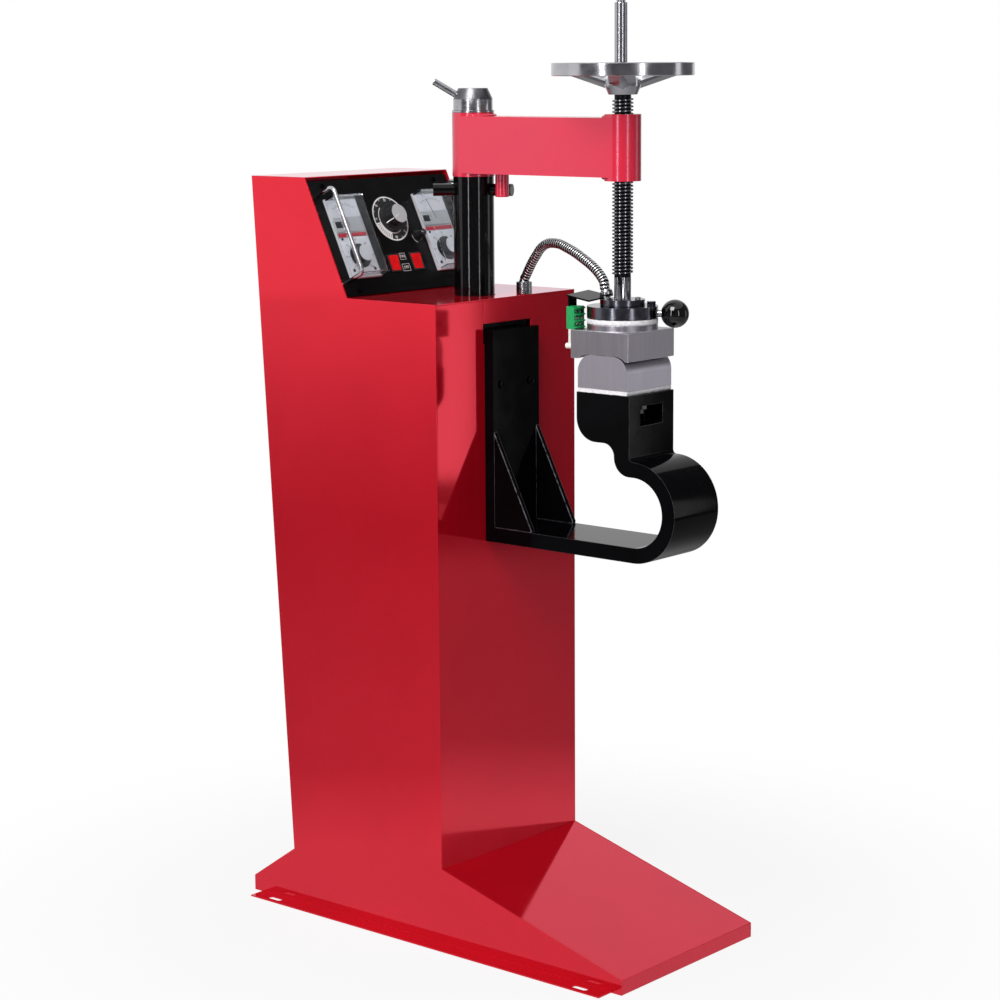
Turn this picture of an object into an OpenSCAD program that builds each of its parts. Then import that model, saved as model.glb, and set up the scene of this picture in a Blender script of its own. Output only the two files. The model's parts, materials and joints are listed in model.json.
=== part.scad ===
// Pedestal tyre vulcanizer: a sheet steel cabinet carries a fixed lower arm with a heated mould
// and a swinging upper arm whose hand screw presses a second heated mould down onto the tyre.
// Millimetres, +Z up. The front, where the tyre goes, faces -Y. The floor is z = 0.

/* [Cabinet] */
// Outside width between the two side panels
cabinet_w = 315; // [300:1:360]
// Thickness of the cabinet sheet
sheet_t = 2; // [1.5:0.1:3]
// Height of the ledge in front of the console
ledge_z = 950; // [930:1:1000]
// Height of the console above the ledge
console_h = 174; // [165:1:200]
// Distance from the column face back to the foot of the control panel
ledge_depth = 174; // [165:1:190]
// How far the control panel leans back over its height
panel_lean = 83; // [70:1:95]
// Distance from the column face to the back of the console
console_depth = 368; // [350:1:390]
// Distance from the column face to the back of the column at its foot
column_depth = 308; // [290:1:330]
// Distance from the column face to the back of the base
rear_len = 397.5; // [370:0.5:420]
// Height where the back of the column meets the base
rear_z = 85; // [70:1:110]
// Height of the base at its back edge
rear_lip_h = 24; // [15:1:35]
// Length of the sloping toe in front of the column
ramp_len = 336; // [300:1:340]
// Height where the toe meets the column
ramp_z = 115; // [95:1:140]
// Height of the toe at its nose
toe_h = 22; // [15:1:35]

/* [Floor flanges] */
// Width of the flange turned out along each side
flange_w = 28; // [24:1:40]
// Set back of the flange ends from the ends of the base
flange_set = 19; // [3:1:25]
// Distance between the two slots of a flange
slot_spacing = 610; // [560:1:640]
// Distance from the side panel to the slot centre line
slot_off = 16; // [12:1:18]
// Slot length from end to end
slot_len = 26; // [18:1:32]
// Slot width
slot_w = 10; // [8:0.5:12]

/* [Post and upper arm] */
// Post diameter
post_d = 60; // [56:1:64]
// Wall of the post tube
post_wall = 6; // [4:0.5:8]
// Distance from the column face back to the post axis
post_set = 63; // [56:1:70]
// Height of the post above the ledge
post_rise = 174.2; // [165:0.1:200]
// Distance from the post axis to the screw axis
arm_reach = 277; // [270:1:285]
// Height of the arm at its two ends
arm_h = 92.5; // [85:0.5:105]
// Step from the arm ends down to the slimmer middle
arm_step = 5; // [3:0.5:8]
// Radius of the arm around the post
arm_post_r = 31; // [29:0.5:36]
// Radius of the arm around the screw
arm_screw_r = 26; // [25:0.5:30]
// Distance of the swing stop lug from the post axis
lug_reach = 55; // [52:1:60]
// Diameter of the swing stop lug
lug_d = 20; // [16:1:22]
// Diameter of the two stop pegs on the post
peg_d = 18; // [14:1:20]
// How far the stop pegs reach from the post axis
peg_reach = 60; // [58:1:66]
// Swing of the arm away from the work, in degrees
swing_deg = 115; // [90:1:120]

/* [Clamp nut] */
// Diameter of the nut's lower flange
clamp_flange_d = 62; // [56:1:66]
// Diameter of the nut's barrel
clamp_d = 58; // [50:1:62]
// Diameter of the nut's flat top
clamp_top_d = 43; // [36:1:48]
// Height of the nut
clamp_h = 35; // [30:1:42]
// Diameter of the clamp lever
clamp_lever_d = 10; // [8:0.5:12]
// Reach of the clamp lever from the post axis
clamp_lever_reach = 57; // [50:1:70]
// Rise of the clamp lever in degrees
clamp_lever_rise = 31; // [20:1:40]

/* [Screw and handwheel] */
// Screw diameter over the thread
screw_d = 30; // [28:0.5:32]
// Thread pitch
pitch = 5; // [4:0.5:6]
// Depth of the thread
thread_depth = 2.6; // [2:0.1:3]
// Diameter of the plain shank below the thread
shank_d = 24; // [20:0.5:24]
// Length of the plain shank that shows above the head
shank_len = 31; // [25:1:40]
// Gap between the arm and the handwheel hub with the moulds closed
hub_gap = 27; // [20:1:40]
// Handwheel diameter
wheel_d = 200; // [180:1:220]
// Height of the handwheel rim
rim_h = 18; // [14:0.5:22]
// Width of the handwheel rim
rim_w = 16; // [14:0.5:20]
// Rise from the underside of the hub to the underside of the rim
wheel_dish = 26; // [20:1:34]
// Width of a spoke
spoke_w = 38; // [26:1:40]
// Diameter of the crank handle
grip_d = 17.5; // [16:0.5:20]
// Length of the crank handle
grip_len = 80; // [70:1:95]
// Diameter of the stud that the crank handle turns on
stud_d = 11; // [9:0.5:12]

/* [Head] */
// Width of the upper mould
block_w = 107; // [104:1:112]
// Length of the upper mould from front to back
block_len = 102; // [102:1:110]
// Height of the round boss on the upper mould
boss_h = 8; // [6:0.5:10]
// Height of the upper mould
block_h = 40; // [38:1:50]
// Diameter of the lock ring and of the insulation under it
ring_d = 101; // [96:0.5:101]
// Thickness of the insulation disc
disc_t = 8; // [6:0.5:12]
// Height of the lock ring
ring_h = 16.6; // [15:0.1:22]
// Outside diameter of the bearing housing
housing_d = 60; // [56:1:64]
// Diameter of the retainer plate
retainer_d = 64; // [64:1:66]
// Thickness of the retainer plate
retainer_t = 9; // [6:0.5:12]
// Direction of the lock lever about the screw, in degrees
lever_deg = -60; // [-80:1:-40]
// Distance of the ball knob centre from the screw axis
ball_reach = 74.5; // [73:0.5:90]
// Diameter of the ball knob
ball_d = 40; // [36:1:42]
// Diameter of the lock lever rod
lever_d = 10; // [8:0.5:12]

/* [Moulds and lower arm] */
// Width of the lower arm
lower_w = 104; // [98:1:106]
// Thickness of the lower arm's bar and bow
bar_t = 22; // [18:1:26]
// Height of the underside of the lower bar
bar_z = 593; // [575:1:610]
// Inside radius of the bow
bow_r = 50; // [46:1:56]
// Height from the inside of the bow up to the underside of the arm's head
neck_rise = 44.5; // [40:0.5:55]
// Thickness of the neck
neck_t = 27; // [24:1:32]
// Height of the arm's head
head_h = 69.5; // [60:0.5:80]
// Length of the lower mould
mould_len = 88; // [84:1:92]
// Width of the lower mould
mould_w = 103; // [96:1:104]
// Height of the lower mould
mould_h = 48; // [44:1:54]
// Shoulder radius of the lower mould
shoulder_r = 25; // [20:1:30]
// Thickness of the insulation under the lower mould
pad_t = 6; // [4:0.5:8]
// Diameter of the cartridge heaters
heater_d = 10; // [8:0.5:12]
// Length of the cartridge heaters
heater_len = 78; // [60:1:82]

/* [Bracket] */
// Width of the bracket plate
plate_w = 104; // [100:1:108]
// Height of the bracket plate
plate_h = 312; // [290:1:320]
// How far the bracket plate stands in front of the column
plate_t = 17; // [14:1:22]
// Height of the gussets above the bar
gusset_h = 142; // [120:1:160]
// Reach of the gussets along the bar
gusset_reach = 70; // [60:1:90]
// Thickness of a gusset
gusset_t = 8; // [6:0.5:10]

/* [Control panel] */
// Width of a temperature controller
controller_w = 66; // [64:1:68]
// Height of a temperature controller
controller_h = 127; // [120:1:130]
// Distance of the controllers from the middle of the panel
controller_x = 96.5; // [95:0.5:98]
// Depth of the clear covers
cover_h = 18.5; // [16:0.5:22]
// Diameter of the timer scale
timer_d = 74; // [66:1:76]
// Spacing of the two rocker switches
rocker_gap = 50; // [46:1:60]
// Length of the guard handles
guard_len = 137.5; // [125:0.5:142]
// How far the guard handles stand off the panel
guard_h = 34.5; // [28:0.5:38]
// Rod diameter of the guard handles
guard_d = 6; // [5:0.5:7]

/* [Conduit] */
// Diameter of the ribbed conduit over its ribs
hose_d = 14.5; // [12:0.5:15]
// Bore of the conduit
hose_bore = 9; // [7:0.5:10]
// Number of ribs on the conduit
ribs = 130; // [40:1:140]

/* [Hidden] */
$fn = 64;
// Clearances
run_gap = 0.06;
face_gap = 0.3;
thread_gap = 0.3;
mould_gap = 0.8;
plate_gap = 1;

// Places along Y, from the column face
bow_out_r = bow_r + bar_t;
head_front = 52;
head_rear = 42;
bow_lead = 7.5;
front_len = arm_reach - post_set + head_front + bow_lead + bow_out_r;
y_face = (front_len - rear_len) / 2;
y_toe = y_face - ramp_len;
y_rear = y_face + rear_len;
y_back_low = y_face + column_depth;
y_back_top = y_face + console_depth;
post_y = y_face + post_set;
screw_y = post_y - arm_reach;
panel_y = y_face + ledge_depth;
panel_top_y = panel_y + panel_lean;
console_z = ledge_z + console_h;
half_w = cabinet_w / 2;
inner_w = cabinet_w - 2 * sheet_t;

// Slopes of the toe, the rear base and the back of the column
ramp_slope = (ramp_z - toe_h) / ramp_len;
ramp_v = sheet_t * sqrt(1 + ramp_slope * ramp_slope);
rear_slope = (rear_z - rear_lip_h) / (rear_len - column_depth);
rear_v = sheet_t * sqrt(1 + rear_slope * rear_slope);
back_slope = (console_depth - column_depth) / (console_z - rear_z);
back_deg = atan(back_slope);

// Control panel, inset between the side panels
panel_t = 3;
panel_inset = 3;
panel_deg = atan2(console_h, panel_lean);
panel_len = norm([console_h, panel_lean]);
panel_foot = (panel_inset + panel_t) / tan(panel_deg);
panel_mid_x = -4.5;

// Heights of the lower arm and the moulds
bow_z = bar_z + bar_t + bow_r;
head_under_z = bow_z + bow_r + neck_rise;
head_top_z = head_under_z + head_h;
bow_y = screw_y - head_front - bow_lead;
neck_front_y = screw_y - head_front;
mould_z = head_top_z + pad_t;
mould_top_z = mould_z + mould_h;
mould_y = screw_y - 4;
nest = 6.5;
block_z = mould_top_z + mould_gap - nest - 0.6;
block_top_z = block_z + block_h;
swing_relief = 6.6;
swing_relief_front = 4.6;

// Heights of the head
boss_top_z = block_top_z + boss_h;
ring_z = boss_top_z + disc_t;
retainer_z = ring_z + ring_h + 2 * face_gap;
head_top = retainer_z + retainer_t;
collar_t = 7;
collar_r = 22;
bearing_t = 5;
housing_floor = 4;
cavity_r = collar_r + 1;
lever_z = ring_z + 6;
lever_seat = ring_d / 2 - 4.5;
lock_bolt_reach = ring_d / 2 - 9.5;
lock_bolt_d = 8;
lock_bolt_deep = 8;

// Heights of the upper arm and the screw
arm_z = ledge_z + post_rise + face_gap;
arm_top_z = arm_z + arm_h;
bush_wall = 6;
pivot_r = 18;
nut_wall = 6;
screw_r = screw_d / 2;
nut_r = screw_r + thread_gap;
thread_z = head_top + shank_len;
hub_z = arm_top_z + hub_gap;
hub_r = 20.5;
hub_top_r = 25.5;
hub_h = 22;
rim_z = hub_z + wheel_dish;
rim_top_z = rim_z + rim_h;
wheel_r = wheel_d / 2;
crank_deg = 216;
crank_r = wheel_r - 10;
spokes = 3;
grip_z = rim_top_z + face_gap;
lug_len = 34;
peg_z = ledge_z + post_rise - 19.5;
peg_turn = asin((lug_d + peg_d + 1) / 2 / lug_reach);
peg_in_deg = -90 + peg_turn;
peg_out_deg = -90 - swing_deg - peg_turn;
clamp_z = arm_top_z + face_gap;
clamp_deg = 132;

// Frame inside the cabinet
spine_set = 5;
spine_w = 100;
spine_d = 108;
spine_wall = 6;
spine_top = ledge_z - 14;
spine_plate = 8;
socket_z = ledge_z - 230;
foot_w = inner_w - 15;
foot_len = 320;
foot_set = -70;

// Front slot and bracket
plate_z = bar_z;
slot_top_z = ledge_z - 36;
slot_wide = 108;
slot_narrow = 96;
slot_wide_z = slot_top_z - 29;
slot_low_z = plate_z + 12;
bolt_x = 33;
bolt_head_h = 3;
bolt_zs = [plate_z + 97, plate_z + plate_h - 80];

// Conduit end places and the gland on the ledge
gland_x = 53;
gland_set = 11.5;
gland_h = 18;
gland_r = 11.6;
gland_cup = 6;
collar_h = 7;
hose_end_y = 27;
hose_lean = 20;
bracket_t = 2.5;
bracket_x0 = -44;
bracket_y0 = 26;
bracket_y1 = 64.5;
bracket_w = 49.5;
bracket_len = 40;
bracket_tilt = 8.6;
bracket_roll = 3.9;
bracket_low = -0.2;
terminal_w = 24;
terminal_d = 14;
terminal_h = 32;
terminal_x = -50;

// Route of the conduit from the gland up over its crown and down to the head's leaning collar
hose_start = [gland_x, y_face + gland_set, ledge_z + gland_h - gland_cup];
hose_lead = hose_d / 2;
hose_out = [0, sin(hose_lean), cos(hose_lean)];
hose_base = [0, screw_y + hose_end_y, head_top + bracket_t / 2];
hose_stop = hose_base + collar_h * hose_out;
hose_mid = [
    [51.3, y_face + 5.5, 978.4],
    [49.3, y_face - 1.8, 988.7],
    [47.4, y_face - 9.2, 998.4],
    [45.3, y_face - 17.2, 1006.9],
    [41.6, y_face - 31.3, 1020.5],
    [36.7, y_face - 49.5, 1028.2],
    [30.3, y_face - 73.6, 1028.7],
    [25.1, y_face - 93.1, 1024.2],
    [20, y_face - 112, 1018.5],
    [14.4, y_face - 133, 1010.2],
    [9.2, y_face - 152.7, 1001.3],
    [5.2, y_face - 167.6, 992],
    [2.2, y_face - 178.6, 981.7]
];
hose_pts = concat(
    [hose_start, hose_start + [0, 0, hose_lead]],
    hose_mid,
    [hose_stop + hose_lead * hose_out, hose_stop]
);
hose_knots = len(hose_pts);

// Helpers

// Extrudes a Y-Z outline along X from x0
module yz(x0, t) {
    translate([x0, 0, 0])
        rotate([90, 0, 90])
            linear_extrude(t)
                children();
}

// Tube or disc from z0 to z1 on a vertical axis
module barrel(x, y, z0, z1, r) {
    translate([x, y, z0])
        cylinder(h = z1 - z0, r = r);
}

// Box from a low corner to a high corner
module block(lo, hi) {
    translate(lo)
        cube(hi - lo);
}

// Places something on the control panel: u across, v up the slope, h out of its face
module on_panel(u, v, h) {
    translate([0, panel_y, ledge_z])
        rotate([panel_deg, 0, 0])
            translate([u, v, h - panel_inset])
                children();
}

// Box on the control panel, centred on u and v
module panel_box(u, v, w, l, h0, h1) {
    on_panel(u - w / 2, v - l / 2, h0)
        cube([w, l, h1 - h0]);
}

// Disc on the control panel
module panel_disc(u, v, r, h0, h1) {
    on_panel(u, v, h0)
        cylinder(h = h1 - h0, r = r);
}

// Places something on the head at an angle and a distance from the screw axis
module on_head(deg, reach, z) {
    translate([0, screw_y, z])
        rotate([0, 0, deg])
            translate([reach, 0, 0])
                children();
}

// Cabinet sheets

module cabinet_outline() {
    polygon([
        [y_toe, 0],
        [y_toe, toe_h],
        [y_face, ramp_z],
        [y_face, ledge_z],
        [panel_y, ledge_z],
        [panel_top_y, console_z],
        [y_back_top, console_z],
        [y_back_low, rear_z],
        [y_rear, rear_lip_h],
        [y_rear, 0]
    ]);
}

// Slot with round ends, long along Y
module floor_slot(y) {
    straight = slot_len - slot_w;
    translate([-half_w - slot_off, y, -1]) {
        translate([-slot_w / 2, -straight / 2, 0])
            cube([slot_w, straight, sheet_t + 2]);
        for (side = [-1, 1])
            translate([0, side * straight / 2, 0])
                cylinder(h = sheet_t + 2, d = slot_w);
    }
}

module side_panel() {
    yz(-half_w, sheet_t)
        cabinet_outline();
    difference() {
        block([-half_w - flange_w, y_toe + flange_set, 0], [-half_w, y_rear - flange_set, sheet_t]);
        for (side = [-1, 1])
            floor_slot((y_toe + y_rear) / 2 + side * slot_spacing / 2);
    }
}

module left_side_panel() {
    color("firebrick")
        side_panel();
}

module right_side_panel() {
    color("firebrick")
        mirror([1, 0, 0])
            side_panel();
}

module front_panel() {
    color("firebrick")
        difference() {
            block([-inner_w / 2, y_face, ramp_z - ramp_v], [inner_w / 2, y_face + sheet_t, ledge_z - sheet_t]);
            block([-slot_narrow / 2, y_face - 1, slot_low_z], [slot_narrow / 2, y_face + sheet_t + 1, ledge_z]);
            block([-slot_wide / 2, y_face - 1, slot_wide_z], [slot_wide / 2, y_face + sheet_t + 1, ledge_z]);
        }
}

module slot_filler() {
    color("firebrick")
        block([-slot_wide / 2, y_face, slot_top_z], [slot_wide / 2, y_face + sheet_t, ledge_z - sheet_t]);
}

module ledge_plate() {
    color("firebrick")
        difference() {
            block(
                [-inner_w / 2, y_face, ledge_z - sheet_t],
                [inner_w / 2, panel_y + panel_inset + 2 * panel_t, ledge_z]
            );
            barrel(0, post_y, ledge_z - sheet_t - 1, ledge_z + 1, post_d / 2 + plate_gap);
            barrel(gland_x, y_face + gland_set, ledge_z - sheet_t - 1, ledge_z + 1, gland_r - 3);
        }
}

module ramp_plate() {
    nose_in = toe_h - ramp_v + sheet_t * ramp_slope;
    color("firebrick")
        yz(-inner_w / 2, inner_w)
            polygon([
                [y_toe, 0],
                [y_toe, toe_h],
                [y_face, ramp_z],
                [y_face, ramp_z - ramp_v],
                [y_toe + sheet_t, nose_in],
                [y_toe + sheet_t, 0]
            ]);
}

module rear_base_plate() {
    lip_in = rear_lip_h - rear_v + sheet_t * rear_slope;
    color("firebrick")
        yz(-inner_w / 2, inner_w)
            polygon([
                [y_rear, 0],
                [y_rear, rear_lip_h],
                [y_back_low, rear_z],
                [y_back_low - sheet_t, rear_z],
                [y_back_low - sheet_t, rear_z - rear_v],
                [y_back_low, rear_z - rear_v],
                [y_rear - sheet_t, lip_in],
                [y_rear - sheet_t, 0]
            ]);
}

module rear_panel() {
    top_z = console_z - sheet_t;
    top_y = y_back_top - sheet_t * back_slope;
    color("firebrick")
        difference() {
            yz(-inner_w / 2, inner_w)
                polygon([
                    [y_back_low, rear_z],
                    [top_y, top_z],
                    [top_y - sheet_t, top_z],
                    [y_back_low - sheet_t, rear_z]
                ]);
            on_back(rear_gland_x, rear_gland_z, -2 * sheet_t)
                cylinder(h = 4 * sheet_t, r = rear_gland_r - 4);
        }
}

module console_top() {
    color("firebrick")
        block([-inner_w / 2, panel_top_y, console_z - sheet_t], [inner_w / 2, y_back_top, console_z]);
}

// Places something on the outside of the rear panel at height z, pointing out
module on_back(x, z, h) {
    translate([x, y_back_low + (z - rear_z) * back_slope, z])
        rotate([-90 - back_deg, 0, 0])
            translate([0, 0, h])
                children();
}

rear_gland_x = -70;
rear_gland_z = rear_z + 75;
rear_gland_r = 13;

module rear_gland() {
    color("dimgray")
        difference() {
            union() {
                on_back(rear_gland_x, rear_gland_z, 0)
                    cylinder(h = 7, r = rear_gland_r, $fn = 6);
                on_back(rear_gland_x, rear_gland_z, 7)
                    cylinder(h = 12, r = rear_gland_r - 3);
            }
            on_back(rear_gland_x, rear_gland_z, -1)
                cylinder(h = 21, r = 4.5);
        }
}

// Control panel

controller_v = panel_len / 2 - 4;
controller_back = controller_w - 8;
controller_deep = 60;
bezel_h = 4;
timer_v = 119;
timer_back = 50;
rocker_v = 48;
rocker_w = 18;
rocker_l = 23;
rocker_frame = 1.8;
selector_x = panel_mid_x + 46;
selector_v = 88.4;
knob_v = controller_v - 29.5;
knob_pin_r = 3;
cover_wall = 2;
guard_x = controller_x + controller_w / 2 + 6;
guard_v = panel_len / 2 - 1.4;

// Place of a controller across the panel
function controller_u(side) = panel_mid_x + side * controller_x;

module control_panel() {
    color("#1a1a1c")
        difference() {
            on_panel(-inner_w / 2, panel_foot, -panel_t)
                cube([inner_w, panel_len - panel_foot - 2 * panel_t, panel_t]);
            for (side = [-1, 1]) {
                panel_box(controller_u(side), controller_v, controller_back, controller_h - 8, -panel_t - 1, 1);
                panel_box(
                    panel_mid_x + side * rocker_gap / 2, rocker_v,
                    rocker_w + 2, rocker_l + 2, -panel_t - 1, 1
                );
            }
            panel_disc(panel_mid_x, timer_v, 12, -panel_t - 1, 1);
            panel_disc(selector_x, selector_v, 5, -panel_t - 1, 1);
        }
}

module controllers() {
    color("#c9cbcc")
        for (side = [-1, 1])
            difference() {
                union() {
                    panel_box(controller_u(side), controller_v, controller_w, controller_h, 0, bezel_h);
                    panel_box(
                        controller_u(side), controller_v,
                        controller_back, controller_h - 8, -controller_deep, 0
                    );
                }
                panel_disc(controller_u(side), knob_v, knob_pin_r + run_gap, -6, bezel_h + 1);
            }
}

module controller_covers() {
    color("#dfe8ec", 0.4)
        for (side = [-1, 1])
            difference() {
                panel_box(
                    controller_u(side), controller_v,
                    controller_w - 2, controller_h - 2, bezel_h, bezel_h + cover_h
                );
                panel_box(
                    controller_u(side), controller_v, controller_w - 2 - 2 * cover_wall,
                    controller_h - 2 - 2 * cover_wall, bezel_h - 1, bezel_h + cover_h - cover_wall
                );
            }
}

// Round knob on a pin that turns in its panel hole
module knob(u, v, foot, skirt_r, skirt_h, cap_r, cap_h, pin_r, pin_len) {
    panel_disc(u, v, skirt_r, foot, foot + skirt_h);
    panel_disc(u, v, cap_r, foot + skirt_h / 2, foot + skirt_h + cap_h);
    panel_disc(u, v, pin_r, foot - pin_len, foot + skirt_h / 2);
}

module setpoint_knob(side) {
    knob(controller_u(side), knob_v, bezel_h + face_gap, 19, 2.5, 12.5, cover_h - cover_wall - 6, knob_pin_r, 7);
}

module left_setpoint_knob() {
    color("#3a3d42")
        setpoint_knob(-1);
}

module right_setpoint_knob() {
    color("#3a3d42")
        setpoint_knob(1);
}

module timer_body() {
    color("#e9e9e6")
        difference() {
            union() {
                panel_disc(panel_mid_x, timer_v, timer_d / 2, 0, 1);
                panel_disc(panel_mid_x, timer_v, 12, -panel_t, 0);
                panel_box(panel_mid_x, timer_v, timer_back, timer_back, -panel_t - 45, -panel_t);
            }
            panel_disc(panel_mid_x, timer_v, knob_pin_r + run_gap, -9, 2);
        }
}

module timer_knob() {
    color("#b9bcc0")
        knob(panel_mid_x, timer_v, 1 + face_gap, 22, 7, 15, 14, knob_pin_r, 9);
}

module switch_frames() {
    color("#18181a")
        for (side = [-1, 1])
            difference() {
                union() {
                    panel_box(
                        panel_mid_x + side * rocker_gap / 2, rocker_v,
                        rocker_w + 2 + 2 * rocker_frame, rocker_l + 2 + 2 * rocker_frame, 0, 2
                    );
                    panel_box(panel_mid_x + side * rocker_gap / 2, rocker_v, rocker_w + 2, rocker_l + 2, -22, 0);
                }
                panel_box(panel_mid_x + side * rocker_gap / 2, rocker_v, rocker_w + 0.8, rocker_l + 1.2, -7, 3);
            }
    color("#18181a")
        difference() {
            union() {
                panel_disc(selector_x, selector_v, 9, 0, 2.5);
                panel_disc(selector_x, selector_v, 5, -16, 0);
            }
            panel_disc(selector_x, selector_v, knob_pin_r + run_gap, -9, 3);
        }
}

module selector_knob() {
    color("#202124")
        knob(selector_x, selector_v, 2.5 + face_gap, 7, 4, 5.5, 9, knob_pin_r, 9);
}

// Rocker with a shallow V top, resting tipped to one side, on a pivot boss in its well
rocker_tip = 9;
rocker_pin = 0.25;
module rocker(side) {
    half = rocker_l / 2;
    on_panel(panel_mid_x + side * rocker_gap / 2 - rocker_w / 2, rocker_v, 1)
        rotate([rocker_tip, 0, 0]) {
            rotate([90, 0, 90])
                linear_extrude(rocker_w)
                    polygon([[-half, -2], [half, -2], [half, 2.6], [0, 1.4], [-half, 2.6]]);
            translate([-rocker_pin, 0, 0])
                rotate([0, 90, 0])
                    cylinder(h = rocker_w + 2 * rocker_pin, r = 1.2);
            translate([0, 0, -4])
                rotate([0, 90, 0])
                    cylinder(h = rocker_w, r = 3.4);
            translate([0, -3.4, -4])
                cube([rocker_w, 6.8, 3]);
        }
}

module left_rocker() {
    color("red")
        rocker(-1);
}

module right_rocker() {
    color("red")
        rocker(1);
}

// Wire guard: two legs with round bends and a bar along the slope
module guard(side) {
    bend = 9;
    seat = 0.5;
    for (end = [-1, 1]) {
        on_panel(panel_mid_x + side * guard_x, guard_v + end * guard_len / 2, 0)
            cylinder(h = guard_h - bend + seat, d = guard_d);
        on_panel(panel_mid_x + side * guard_x, guard_v + end * (guard_len / 2 - bend), guard_h - bend)
            rotate([0, 0, end * 90])
                rotate([90, 0, 0])
                    rotate_extrude(angle = 90)
                        translate([bend, 0])
                            circle(d = guard_d + 0.3);
    }
    on_panel(panel_mid_x + side * guard_x, guard_v - guard_len / 2 + bend - seat, guard_h)
        rotate([-90, 0, 0])
            cylinder(h = guard_len - 2 * bend + 2 * seat, d = guard_d);
}

module guard_handles() {
    color("silver")
        for (side = [-1, 1])
            guard(side);
}

// Pan head screws of the control panel and of the rear panel
module panel_screws() {
    screw_u = inner_w / 2 - 8;
    color("silver") {
        for (side = [-1, 1], v = [panel_foot + 7, panel_len - 14])
            panel_disc(side * (screw_u - 24), v, 3.6, 0, 2.2);
        for (side = [-1, 1], z = [rear_z + 100, (rear_z + console_z) / 2, console_z - 90])
            on_back(side * screw_u, z, 0)
                cylinder(h = 2.4, r = 4.2);
    }
}

// Frame, post and lower arm

module frame_spine() {
    y0 = y_face + spine_set;
    color("#2c2c2e")
        difference() {
            union() {
                block([-foot_w / 2, y_face + foot_set, 0], [foot_w / 2, y_face + foot_set + foot_len, spine_plate]);
                block([-spine_w / 2, y0, spine_plate], [spine_w / 2, y0 + spine_d, spine_top]);
            }
            difference() {
                block(
                    [-spine_w / 2 + spine_wall, y0 + spine_wall, 2 * spine_plate],
                    [spine_w / 2 - spine_wall, y0 + spine_d - spine_wall, spine_top - spine_plate]
                );
                block([-spine_w / 2, y0, socket_z - spine_plate], [spine_w / 2, y0 + spine_d, socket_z]);
            }
            barrel(0, post_y, socket_z, spine_top + 1, post_d / 2);
            for (side = [-1, 1], z = bolt_zs)
                translate([side * bolt_x, y0 - 1, z])
                    rotate([-90, 0, 0])
                        cylinder(h = spine_wall + 2, r = 5);
        }
}

module post() {
    color("#141416") {
        difference() {
            barrel(0, post_y, socket_z, ledge_z + post_rise, post_d / 2);
            barrel(0, post_y, socket_z - 1, ledge_z + post_rise + 1, post_d / 2 - post_wall);
        }
        for (deg = [peg_in_deg, peg_out_deg])
            difference() {
                translate([0, post_y, peg_z])
                    rotate([0, 0, deg])
                        rotate([0, 90, 0])
                            cylinder(h = peg_reach, d = peg_d);
                barrel(0, post_y, peg_z - peg_d, peg_z + peg_d, post_d / 2 - post_wall);
            }
    }
}

module pivot_stud() {
    color("silver") {
        barrel(0, post_y, ledge_z + post_rise - 70, ledge_z + post_rise, post_d / 2 - post_wall);
        barrel(0, post_y, ledge_z + post_rise, clamp_z + 22, pivot_r);
    }
}

module bracket_plate() {
    color("#141416")
        difference() {
            union() {
                block([-plate_w / 2, y_face - plate_t, plate_z], [plate_w / 2, y_face, plate_z + plate_h]);
                block(
                    [-slot_narrow / 2 + plate_gap, y_face, slot_low_z + plate_gap],
                    [slot_narrow / 2 - plate_gap, y_face + spine_set, slot_wide_z]
                );
            }
            for (side = [-1, 1], z = bolt_zs)
                translate([side * bolt_x, y_face - plate_t - 1, z])
                    rotate([-90, 0, 0])
                        cylinder(h = plate_t + spine_set + 2, r = 5);
        }
}

// Socket head bolts through the bracket plate into the frame
module bracket_bolts() {
    color("#3a3a3e")
        for (side = [-1, 1], z = bolt_zs)
            translate([side * bolt_x, y_face - plate_t, z])
                rotate([-90, 0, 0]) {
                    cylinder(h = plate_t + spine_set + spine_wall + 4, r = 5);
                    difference() {
                        translate([0, 0, -bolt_head_h])
                            cylinder(h = bolt_head_h, r = 6.5);
                        translate([0, 0, -bolt_head_h - 1])
                            cylinder(h = bolt_head_h, r = 3.4, $fn = 6);
                    }
                }
}

module bracket_gussets() {
    y0 = y_face - plate_t;
    z0 = bar_z + bar_t;
    color("#141416")
        for (side = [-1, 1])
            yz(side * (lower_w / 2 - gusset_t / 2) - gusset_t / 2, gusset_t)
                polygon([[y0, z0], [y0 - gusset_reach, z0], [y0 - gusset_reach, z0 + 4], [y0, z0 + gusset_h]]);
}

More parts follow.
